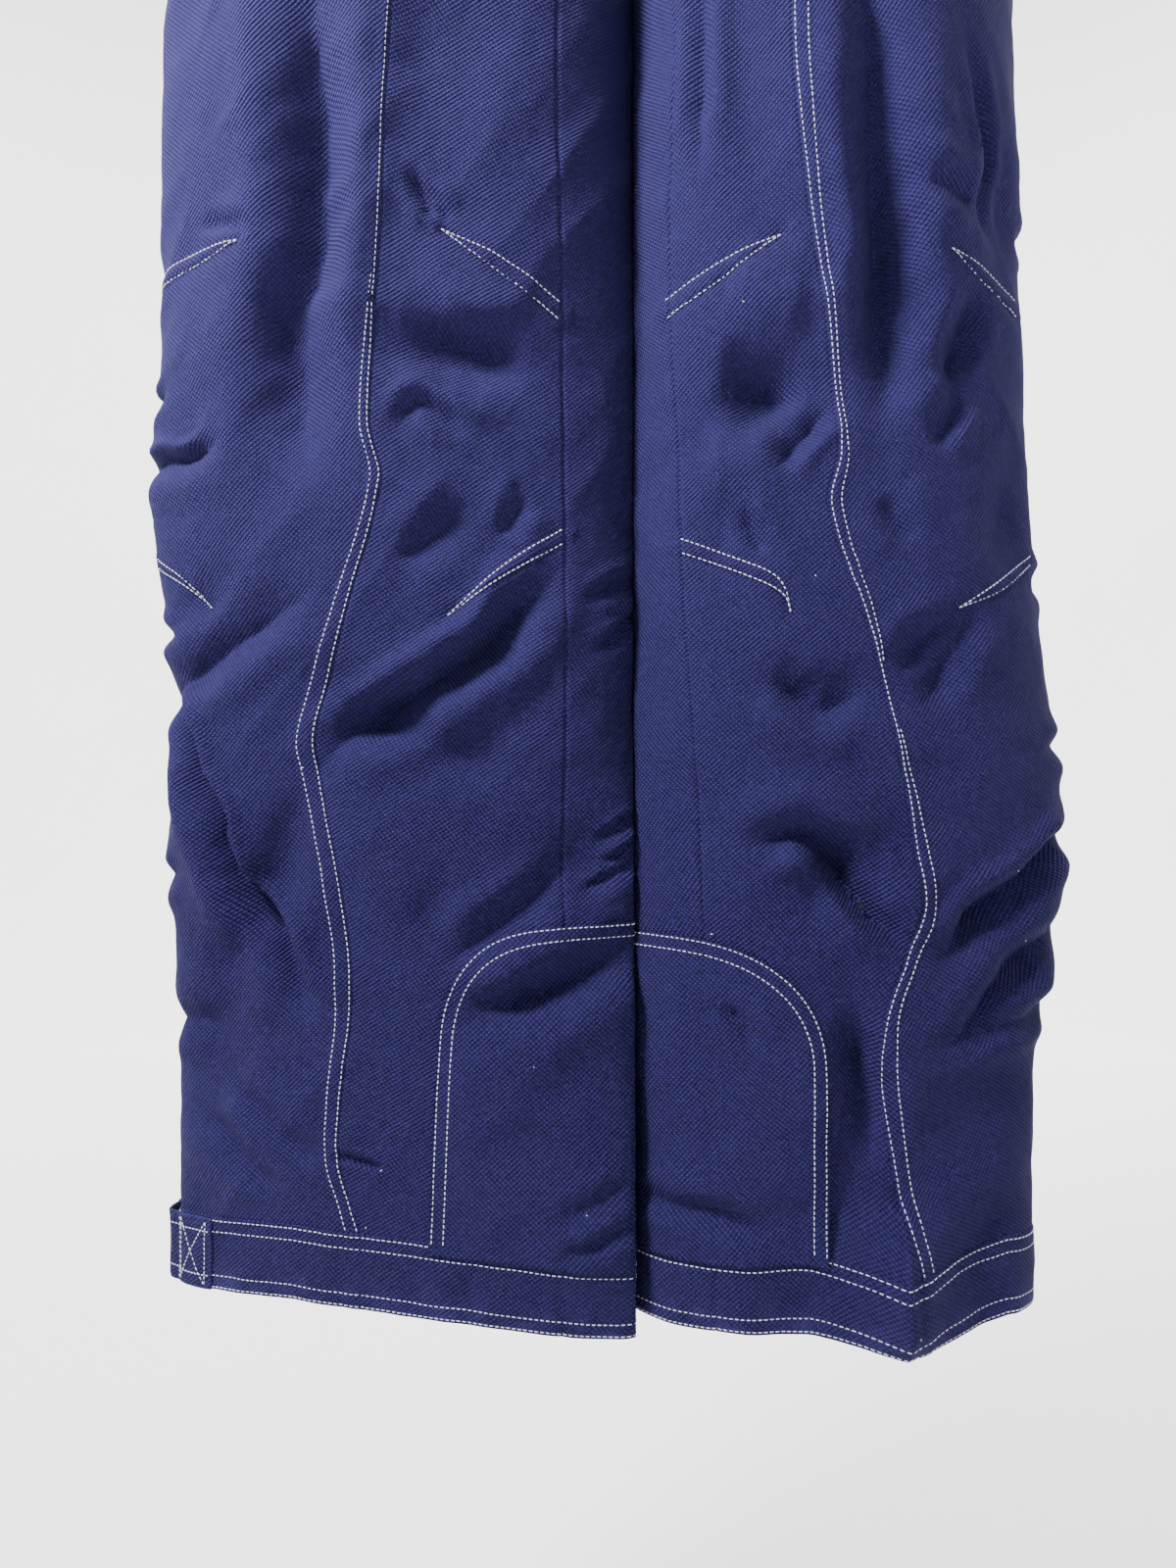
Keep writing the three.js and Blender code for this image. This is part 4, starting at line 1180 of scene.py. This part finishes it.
def zip_coil(at, depth, side):
    """Points, faces and uv of the coil along one tape."""
    t = np.arange(int((at.length - 6) / COIL_PITCH) * 8) / 8
    angle = 2 * np.pi * t
    line = at.at(side * (TEETH_GAP + 1.3 + 1.15 * np.cos(angle)), depth + 0.75 * np.sin(angle),
                 -3 - COIL_PITCH * t)
    ring = 2 * np.pi * np.arange(COIL_SIDES) / COIL_SIDES
    way = np.gradient(line, axis=0)
    way /= np.linalg.norm(way, axis=1, keepdims=True)
    off = np.cross(way, at.up)
    off /= np.linalg.norm(off, axis=1, keepdims=True)
    other = np.cross(way, off)
    tube = line[:, None] + COIL_RADIUS * (off[:, None] * np.cos(ring)[:, None]
                                          + other[:, None] * np.sin(ring)[:, None])
    count = len(line) * COIL_SIDES
    grid = np.arange(count).reshape(-1, COIL_SIDES)
    right = np.roll(grid, -1, axis=1)
    faces = np.stack([grid[:-1], right[:-1], right[1:], grid[1:]], -1).reshape(-1, 4)
    return tube.reshape(-1, 3), faces, np.zeros((count, 2))


def make_zip(name, at, depth):
    """Two tapes and their coils."""
    start = 0
    points, faces, uv = [], [], []
    for side in (-1, 1):
        for p, f, m in (zip_tape(at, depth, side), zip_coil(at, depth, side)):
            points.append(p)
            faces += (f + start).tolist()
            uv.append(m)
            start += len(p)
    made = make_mesh(f"{name}_tapes", np.vstack(points), faces, TAPE, np.vstack(uv))
    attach(made, "seat")
    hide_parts(name)


def dress_metal(node):
    """Rounds the edges of a moulded metal part of the frame and gives it its finish."""
    part = bpy.data.objects[node]
    part.data.materials.clear()
    part.data.materials.append(METAL)
    bevel = part.modifiers.new("rounded_edges", "BEVEL")
    bevel.width = 0.28 * MM
    bevel.segments = 3
    bevel.limit_method = "ANGLE"
    bevel.harden_normals = False


def make_pocket(leg, stitches):
    """A hand pocket: its zip, its welt as two soft lips beside the zip, and its bag."""
    at, name = pocket_frame(leg), leg["name"]
    make_zip(f"{name}_pocket_zip", at, -1.1)
    length = at.length + 2 * LIP_WIDTH
    for side in (-1, 1):
        def point_at(a, b, c, side=side):
            z = LIP_WIDTH - length * a
            x = side * (POCKET_SLOT / 2 + LIP_WIDTH * b)
            high = at.at(0 * x, -2.0 - 1.4 * c + 0 * x, 0 * x) - at.origin
            flat = at.at(x, 0 * x, z)
            s = across_to(leg, np.abs(flat[..., 0]), flat[..., 2])
            low = place(leg, s, flat[..., 2], 0.1 + 1.4 * c) - flat
            drop = smoothstep((b - 0.15) / 0.85)[..., None]
            return flat + high * (1 - drop) + low * drop

        which = "outer" if side < 0 else "inner"
        lip = soft_slab(f"{name}_pocket_lip_{which}", SHELL, point_at, (length, LIP_WIDTH), pitch=2.5)
        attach(lip, "seat")
        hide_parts(f"{name}_pocket_welt")
        sew_over(stitches, point_at, [(0.03, 0.75), (0.97, 0.75)])
        for a in (0.045, 0.955):
            sew_over(stitches, point_at, [(a, 0.05), (a, 0.75)])

    def bag_at(a, b, c):
        s = 0.27 + 0.47 * a
        z = -190 + 138 * b
        rounded = np.clip((1 - (2 * a - 1) ** 4) * (1 - (2 * b - 1) ** 4), 0, 1) ** 0.5
        depth = -6.6 - 7 * rounded - 1.2 + (c - 0.5) * (2 + 13 * rounded)
        return place(leg, s, z, depth)

    bag = soft_slab(f"{name}_pocket_pouch", LINING, bag_at, (100, 138), pitch=5)
    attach(bag, "seat")
    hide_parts(f"{name}_pocket_bag")


def make_fly(stitches):
    """The fly's zip, its shield, and the rows of stitches beside it."""
    at = fly_frame()
    make_zip("fly_zip", at, 5.7)

    def point_at(a, b, c):
        return at.at(52 * (b - 0.5), 10.1 - 1.5 * (c - 0.5) + 0.5 * np.sin(9 * a), -at.length * a)

    shield = soft_slab("fly_shield_cloth", LINING, point_at, (at.length, 52), pitch=4)
    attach(shield, "seat")
    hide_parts("fly_shield")
    for leg in LEGS:
        for x in (8.2, 14.6):
            z = np.arange(-BAND_HEIGHT - 3, FLY_BOTTOM_Z - 6, -3.0)
            line = np.stack([around(leg, across_to(leg, x, z), z), z], -1)
            sew(stitches, leg, line)


def make_waist():
    stitches = Stitches()
    make_waistband(stitches)
    make_waist_tab(stitches)
    for name, turn in BELT_LOOPS.items():
        make_belt_loop(name, turn, stitches)
    make_fly(stitches)
    for leg in LEGS:
        make_pocket(leg, stitches)
    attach(stitches.make("waist_stitching"), "seat")
    for name in ("fly", "right_pocket", "left_pocket"):
        dress_metal(f"{name}_slider")
        dress_metal(f"{name}_puller")


# ---- legs ----
HIP_SLANT, HIP_BEND_LENGTH = (0.33, -0.944), 0.14


def hip_bend(leg):
    """Start and end of a line across the leg between seat and thigh, from the crotch rising
    outwards."""
    start = np.array([0, 0, CROTCH_Z]) * MM
    way = np.array([leg["side"] * HIP_SLANT[0], 0, HIP_SLANT[1]])
    return tuple(start), tuple(start + way * HIP_BEND_LENGTH)


def bend_upper(piece, leg):
    start, end = hip_bend(leg)
    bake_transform(piece)
    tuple(start)
    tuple(end)


def bend_lower(piece):
    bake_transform(piece)


def seam_lines(leg):
    """Functions of z that give the s of each line where the cloth is cut."""
    def middle_front(z):
        inner = np.where(z > FLY_BOTTOM_Z - 12, FLY_SLOT / 2, 0.2)
        return np.where(z > CROTCH_Z, across_to(leg, inner, z), inseam_s(leg, z))

    return {
        "middle": middle_front,
        "princess": lambda z: s_at(leg, princess_join(leg, z), z),
        "side": lambda z: 1 + 0 * z,
        "inseam": lambda z: 2 + inseam_s(leg, z),
    }


def make_leg_cloth(leg):
    """Side front, centre front and back of a leg, each in an upper and a lower mesh."""
    name, lines = leg["name"], seam_lines(leg)
    cuts = {
        "side_front": ("princess", "side", FRONT_PITCH, 8),
        "centre_front": ("middle", "princess", FRONT_PITCH, -6),
        "back": ("side", "inseam", BACK_PITCH, 0),
    }
    stands_for = {
        "side_front": (["seat_front"], ["thigh_side_front", "shin_side_front"]),
        "centre_front": (["hip_fold"], ["thigh_centre_front", "shin_centre_front", "knee_fold"]),
        "back": (["seat_back"], ["thigh_back", "shin_back"]),
    }
    for cut, (first, second, pitch, grain) in cuts.items():
        sides = (lines[first], lines[second])
        hole = pocket_slot(leg) if cut == "side_front" else None
        upper = cloth_panel(f"{name}_{cut}_upper", leg, sides, -BAND_HEIGHT + 2, SPLIT_ROW_Z,
                            SHELL, pitch * 1.3, grain=grain * leg["side"], hole=hole)
        lower = cloth_panel(f"{name}_{cut}_lower", leg, sides, SPLIT_ROW_Z, SHIN_BOTTOM - 6,
                            SHELL, pitch, grain=grain * leg["side"])
        bend_upper(upper, leg)
        bend_lower(lower)
        for piece, nodes in zip((upper, lower), stands_for[cut]):
            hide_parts(*(f"{name}_{n}" for n in nodes))


def make_leg_lining(leg):
    """The lining inside a leg, in an upper and a lower mesh."""
    middle = seam_lines(leg)["middle"]
    sides = (lambda z: np.where(z > CROTCH_Z, middle(z), 0.001), lambda z: 2 + 0 * z)
    name = leg["name"]
    upper = cloth_panel(f"{name}_lining_upper", leg, sides, -BAND_HEIGHT, SPLIT_ROW_Z, LINING,
                        6, 3, height=-LINING_DEPTH, cloth=LINING_CLOTH)
    lower = cloth_panel(f"{name}_lining_lower", leg, sides, SPLIT_ROW_Z, SHIN_BOTTOM - 12, LINING,
                        4, 3, height=-LINING_DEPTH, cloth=LINING_CLOTH)
    bend_upper(upper, leg)
    bend_lower(lower)


GUARD_HEIGHT, GUARD_CLOTH = 0.5, 1.2
GUARD_SQUARE_BACK = 4.0
GUARD_FOOT = SHIN_BOTTOM - 6  # its lower edge, tucked under the hem band


def guard_reach(leg, z):
    """Distance of the guard's front edge from the middle plane."""
    guard = leg["guard"]
    return guard["reach"] + guard["spread"] * (guard["shoulder"] - LENGTH - z)


def guard_edge(leg, inset=0.0):
    """Edge of the scuff guard, as (distance round the leg, height), from the front of the hem band
    over the top to the back of the hem band."""
    guard = leg["guard"]
    shoulder, rise = guard["shoulder"] - LENGTH, guard["top"] - guard["shoulder"]
    front = float(around(leg, across_to(leg, guard["reach"], shoulder), shoulder)) - inset
    sides = []
    for z in np.linspace(SHIN_BOTTOM, shoulder, 30):
        reach = across_to(leg, guard_reach(leg, z), z)
        sides.append((float(around(leg, reach, z)) - inset, z))
    angle = np.linspace(0, np.pi / 2, 24)[1:]
    square = guard["square"]
    arc = [(front * math.cos(a) ** (2 / square), shoulder + (rise - inset) * math.sin(a))
           for a in angle]
    back = -0.8 * front
    arc_back = [(back * math.cos(a) ** (2 / GUARD_SQUARE_BACK), shoulder + (rise - inset) * math.sin(a))
                for a in angle[::-1][1:]]
    return np.array(sides + arc + arc_back + [(back, shoulder), (back, SHIN_BOTTOM)])


# Loose thread ends and lint, as distance from the middle and height above the hem.
RIGHT["lint"] = [(138, 78), (146, 45), (26, 64), (55, 140), (182, 300)]
LEFT["lint"] = [(58, 546), (141, 14), (205, 244), (214, 205), (40, 210), (96, 402)]


def add_lint(leg, stitches):
    random = np.random.default_rng(5)
    for x, h in leg["lint"]:
        (u, z), = front_to_girth(leg, [(x, h)])
        turn, size = random.uniform(0, math.pi), random.uniform(0.8, 1.6)
        way = size * np.array([math.cos(turn), math.sin(turn)])
        line = np.array([(u, z), (u + way[0], z + way[1])])
        above = z < SHIN_BOTTOM
        sew(stitches, leg, line, height=1.5 + above, radius=0.25, pitch=9, fill=1)


def make_scuff_guard(leg, stitches):
    """The arched patch on the inner ankle, sewn down all round with two rows."""
    edge = guard_edge(leg)
    over = np.argmax(edge[:, 1])
    # Columns run up from the hem band; each ends where it meets the edge.
    first, last = edge[-1, 0], edge[0, 0]
    u = first + (last - first) * graded(last - first, 3.0, 0.8, 8)
    front, back = (part[np.argsort(part[:, 0])] for part in (edge[: over + 1], edge[over:]))
    top = np.where(u >= edge[over, 0], np.interp(u, front[:, 0], front[:, 1]),
                   np.interp(u, back[:, 0], back[:, 1]))
    z = GUARD_FOOT + (top[None, :] - GUARD_FOOT) * np.linspace(1, 0, 74)[:, None]
    u = np.broadcast_to(u, z.shape)
    s = s_at(leg, u, z)
    made = closed_cloth(f"{leg['name']}_scuff_guard",
                        place(leg, s, z, GUARD_HEIGHT + GUARD_CLOTH), place(leg, s, z, GUARD_HEIGHT),
                        turned_uv(u.ravel(), z.ravel(), 4 * leg["side"]), SHELL,
                        wear=np.tile(edge_wear(leg, s, z).ravel(), 2))
    for inset in (EDGE_TO_ROW, EDGE_TO_ROW + ROW_GAUGE):
        sew(stitches, leg, guard_edge(leg, inset), height=GUARD_HEIGHT + GUARD_CLOTH)
    return made


HEM_LIFT = 0.9  # the hem band's outer face over the shin's


def hem_rows():
    """Heights of the hem band's four rows of stitches."""
    return (SHIN_BOTTOM - 1.5, SHIN_BOTTOM - 8, -LENGTH + 8.4, -LENGTH + 2)


def hem_profile():
    """Section of the folded hem band, as (height over the outer face, z), from the top of its
    outside round its bottom fold to the top of its inside."""
    top, bottom = SHIN_BOTTOM, -LENGTH
    outside = [(HEM_LIFT - 1.4, top + 0.6), (HEM_LIFT - 0.4, top + 0.4), (HEM_LIFT, top - 0.5)]
    flat = [(HEM_LIFT, z) for z in np.linspace(top - 2, bottom + 2, 22)]
    fold = [(HEM_LIFT - 0.3, bottom + 0.6), (HEM_LIFT - 1.4, bottom), (-3.2, bottom),
            (-4.4, bottom + 0.7)]
    inside = [(-4.8, z) for z in np.linspace(bottom + 3, top + 6, 10)]
    return outside + flat + fold + inside + [(-4.2, top + 6)]


def make_hem_band(leg, stitches):
    """The hem band: a folded strip all round, with two rows at its top and two at its bottom."""
    profile = hem_profile()
    columns = 250
    s = np.linspace(0, 2, columns, endpoint=False)[None, :]
    height = np.array([p[0] for p in profile])[:, None]
    z = np.array([p[1] for p in profile])[:, None] + 0 * s
    s = s + 0 * z
    rows_at = hem_rows()
    sunk = sum(np.exp(-(((z - row) / 0.9) ** 2)) for row in rows_at)
    puffed = 0.25 * np.sin(np.pi * np.clip((z + LENGTH) / HEM_HEIGHT, 0, 1))
    points = place(leg, s, z, height - np.where(height > 0, 0.35 * sunk - puffed, 0))
    count = len(profile)
    at = np.arange(count * columns).reshape(count, columns)
    right = np.roll(at, -1, axis=1)
    below, below_right = np.roll(at, -1, axis=0), np.roll(right, -1, axis=0)
    faces = np.stack([at, right, below_right, below], -1).reshape(-1, 4)
    flat_points = points.reshape(-1, 3)
    faces = facing_out(flat_points, faces)
    u = around(leg, s, z)
    uv = turned_uv(u.ravel(), z.ravel())
    made = make_mesh(f"{leg['name']}_hem_band", flat_points, faces.tolist(), SHELL, uv,
                     edge_wear(leg, s, z).ravel())
    girth = float(around(leg, 2, -LENGTH) - around(leg, 0, -LENGTH)) * MM
    for row in rows_at:
        ends = np.linspace(0.002, 1.998, 120)
        line = np.stack([around(leg, ends, row), np.full(120, row)], -1)
        sew(stitches, leg, line, height=HEM_LIFT)
    return made


STRAP_SEWN = {"right": (0.785, 0.995), "left": (1.06, 1.19)}
STRAP_EDGE_LIFT = 5.0  # how far the sewn end's far edge is pulled off the band
STRAP_SPAN, STRAP_WIDTH = 0.36, HEM_HEIGHT - 1
STRAP_TOP = SHIN_BOTTOM - 0.5
ANCHOR_LIFT = HEM_LIFT + 0.15


def make_hem_strap(leg, stitches):
    """The strap at the hem: its sewn end with a boxed cross, the loop, and the patch that it grips."""
    name = leg["name"]
    first, last = STRAP_SEWN[name]
    reach = float(around(leg, last, STRAP_TOP - 20) - around(leg, first, STRAP_TOP - 20))

    def anchor_at(a, b, c):
        z = STRAP_TOP - STRAP_WIDTH * (1 - b)
        pulled = STRAP_EDGE_LIFT * smoothstep((a - 0.72) / 0.28)
        return place(leg, first + (last - first) * a, z, ANCHOR_LIFT + pulled + 1.4 * c)

    anchor = soft_slab(f"{name}_hem_strap_end", SHELL, anchor_at, (reach, STRAP_WIDTH), pitch=2)
    box = 0.09, 0.62 if leg["side"] < 0 else 0.9
    low, high = 2.2 / STRAP_WIDTH, 1 - 2.2 / STRAP_WIDTH
    for line in ([(box[0], low), (box[0], high)], [(box[1], low), (box[1], high)],
                 [(box[0], low), (box[1], high)], [(box[0], high), (box[1], low)],
                 [(box[1] + 0.04, low), (box[1] + 0.04, high)]):
        sew_over(stitches, anchor_at, line, radius=0.36, pitch=2.8)
    for z in hem_rows():
        b = 1 - (STRAP_TOP - z) / STRAP_WIDTH
        if 0.04 < b < 0.96:
            sew_over(stitches, anchor_at, [(0.03, b), (0.97, b)], radius=0.36)

    def strap_at(a, b, c):
        stand_off = 2 + 9 * np.sin(np.pi * np.clip(a / 0.5, 0, 1)) ** 2
        stand_off = np.maximum(stand_off, (ANCHOR_LIFT + STRAP_EDGE_LIFT) * (a < 0.25))
        z = STRAP_TOP - STRAP_WIDTH * (1 - b)
        s = last + 0.004 + STRAP_SPAN * a
        base = skin(leg, s, z) + outward(leg, s, z) * (stand_off + 1.5 * c)[..., None]
        base[..., 2] -= hem_drop(leg, base[..., 0], z)
        return base

    middle = strap_at(np.linspace(0, 1, 80), np.full(80, 0.5), np.full(80, 0.5))
    length = float(lengths_along(middle)[-1])
    size = (length, STRAP_WIDTH)
    strap = soft_slab(f"{name}_hem_strap_loop", SHELL, strap_at, size, pitch=3)
    strap_stitches = Stitches()
    sew_border(strap_stitches, strap_at, size, 2.4)

    def patch_at(a, b, c):
        z = STRAP_TOP - STRAP_WIDTH + 5 + (STRAP_WIDTH - 10) * b
        return place(leg, last + 0.24 + 0.18 * a, z, HEM_LIFT + 0.1 + 1.1 * c)

    patch = soft_slab(f"{name}_hem_strap_hooks", WEBBING, patch_at, (55, STRAP_WIDTH - 10), pitch=3)
    sew_border(stitches, patch_at, (55, STRAP_WIDTH - 10), 2.0)
    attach(strap_stitches.make(f"{name}_hem_strap_stitching"), f"{name}_hem_strap")
    for piece, body, node in ((anchor, "shin", "hem_strap_anchor"), (patch, "shin", "hem_strap_patch"),
                              (strap, "hem_strap", "hem_strap")):
        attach(piece, f"{name}_{body}")
        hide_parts(f"{name}_{node}")


def make_gaiter(leg):
    """The snow gaiter inside the leg, gathered on to a ribbed elastic at its foot."""
    name = leg["name"]

    def tube(part, material, top, bottom, height, cloth, gathers, pitch):
        rows = int((top - bottom) / pitch) + 1
        z = np.linspace(top, bottom, rows)[:, None]
        s = np.linspace(0.003, 1.997, 240)[None, :]
        s, z = np.broadcast_arrays(s, z)
        u = around(leg, s, z)
        slack_share = np.clip((z - bottom) / (top - bottom), 0, 1)
        folds = 0.8 * np.sin(u / gathers + 2 * noise(u, z, 30, 91)) * (1 - slack_share)
        outside = place(leg, s, z, height + folds)
        made = closed_cloth(f"{name}_{part}", outside, outside - outward(leg, s, z) * cloth,
                            np.stack([u.ravel(), z.ravel()], -1), material)
        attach(made, f"{name}_shin")
        return made

    sleeve = tube("snow_gaiter_sleeve", LINING, -892, -1043, -6.8, 0.7, 2.2, 5)
    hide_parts(f"{name}_snow_gaiter")
    elastic = tube("gaiter_elastic_band", WEBBING, -1043.5, -1065, -7.2, 1.6, 0.7, 2)
    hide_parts(f"{name}_gaiter_elastic")


RIGHT_ROWS_MEET = -540  # above this the right princess seam's rows are sunk into the cloth


def sew_leg(leg, upper, lower):
    """The princess seam's two rows and the knee darts."""
    z = np.arange(-BAND_HEIGHT - 2, SHIN_BOTTOM, -3.0)
    for side in (-1, 1):
        gap = smooth(leg["rows"], z)
        line = np.stack([princess_middle(leg, z) + side * gap / 2, z], -1)
        if side > 0:
            line = line[gap > 1.5]
        breaks = np.where(np.diff(line[:, 1]) < -6)[0] + 1
        for part in np.split(line, breaks):
            if leg is LEFT:
                split_sew((upper, lower), leg, part)
                continue
            narrow = part[:, 1] > RIGHT_ROWS_MEET
            for chosen, radius in ((part[narrow], 0.22), (part[~narrow], 0.34)):
                if len(chosen) > 1:
                    split_sew((upper, lower), leg, chosen, radius=radius)
    for rows in leg["darts"]:
        for row in rows:
            sew(lower, leg, curve(front_to_girth(leg, row), 2.0), height=0.55, radius=0.4)


def make_legs():
    for leg in LEGS:
        name = leg["name"]
        upper, lower, hem = Stitches(), Stitches(), Stitches()
        make_leg_cloth(leg)
        make_leg_lining(leg)
        sew_leg(leg, upper, lower)
        add_lint(leg, lower)
        for piece, node in ((make_scuff_guard(leg, hem), "scuff_guard"),
                            (make_hem_band(leg, hem), "hem_band")):
            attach(piece, f"{name}_shin")
            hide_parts(f"{name}_{node}")
        make_hem_strap(leg, hem)
        make_gaiter(leg)
        bend_upper(upper.make(f"{name}_upper_stitching"), leg)
        bend_lower(lower.make(f"{name}_lower_stitching"))
        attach(hem.make(f"{name}_hem_stitching"), f"{name}_shin")


# ---- studio ----
def make_studio():
    """A round pale floor that curves up into a wall on all sides."""
    floor_z, wall, bend = -1450.0, 4200.0, 1500.0
    profile = [(0, floor_z), (wall - bend, floor_z)]
    for a in np.linspace(0, np.pi / 2, 16)[1:]:
        profile.append((wall - bend + bend * math.sin(a), floor_z + bend * (1 - math.cos(a))))
    profile.append((wall, 3200.0))
    turns = 96
    angle = 2 * np.pi * np.arange(turns) / turns
    rings = [np.stack([r * np.cos(angle), r * np.sin(angle), np.full(turns, z)], -1)
             for r, z in profile[1:]]
    points = np.vstack([[[0, 0, floor_z]]] + rings)
    faces = [[0, 1 + k, 1 + (k + 1) % turns] for k in range(turns)]
    for r in range(len(rings) - 1):
        low, high = 1 + r * turns, 1 + (r + 1) * turns
        faces += [[low + k, high + k, high + (k + 1) % turns, low + (k + 1) % turns]
                  for k in range(turns)]
    make_mesh("studio_floor", points, faces, studio_material())


def add_area_light(name, place_at, target, size, power_watts):
    data = bpy.data.lights.new(name, "AREA")
    data.shape = "DISK"
    data.size = size
    data.energy = power_watts
    lamp = bpy.data.objects.new(name, data)
    lamp.location = place_at
    way = Vector(target) - Vector(place_at)
    lamp.rotation_euler = way.to_track_quat("-Z", "Y").to_euler()
    lamp.visible_camera = False
    bpy.context.scene.collection.objects.link(lamp)


def make_lights():
    """A key light high on the right leg's side, and a ring of lights that whitens the wall."""
    world = bpy.data.worlds.new("soft_light")
    world.use_nodes = True
    world.node_tree.nodes["Background"].inputs["Color"].default_value = (0.95, 0.97, 1, 1)
    world.node_tree.nodes["Background"].inputs["Strength"].default_value = 0.10
    bpy.context.scene.world = world
    add_area_light("key", (-0.75, -0.52, 0.15), (0, 0, -0.66), 0.30, 57)
    add_area_light("fill", (1.6, -2.2, -0.2), (0, 0, -0.7), 2.0, 3)
    add_area_light("back", (0.6, 2.6, 0.8), (0, 0, -0.6), 2.0, 12)
    for turn in range(6):
        a = math.pi / 3 * (turn + 0.5)
        way = (math.cos(a), math.sin(a))
        add_area_light(f"wall_{turn}", (1.2 * way[0], 1.2 * way[1], 2.1),
                       (3.6 * way[0], 3.6 * way[1], -0.7), 1.4, 230 if way[1] > 0.1 else 6)


def make_camera():
    """A close camera, level with the knees, that looks straight at the front."""
    data = bpy.data.cameras.new("camera")
    data.sensor_width = 36
    data.lens = 27.09
    camera = bpy.data.objects.new("camera", data)
    camera.location = (-0.026, -0.690, -0.799)
    camera.rotation_euler = (math.pi / 2, 0, 0)
    bpy.context.scene.collection.objects.link(camera)
    bpy.context.scene.camera = camera


make_camera()
SHELL = shell_material()
THREAD = thread_material()
LINING = plain_weave("lining", (0.010, 0.011, 0.018), 0.0008)
TAPE = plain_weave("zip_tape", (0.007, 0.008, 0.018), 0.0011)
WEBBING = plain_weave("webbing", (0.008, 0.009, 0.040), 0.0016)
METAL = metal_material("zip_metal", (0.10, 0.10, 0.11), 0.32)
SNAP = metal_material("snap_metal", (0.42, 0.42, 0.44), 0.36)
for leg in LEGS:
    prepare(leg)
make_legs()
make_waist()
make_studio()
make_lights()
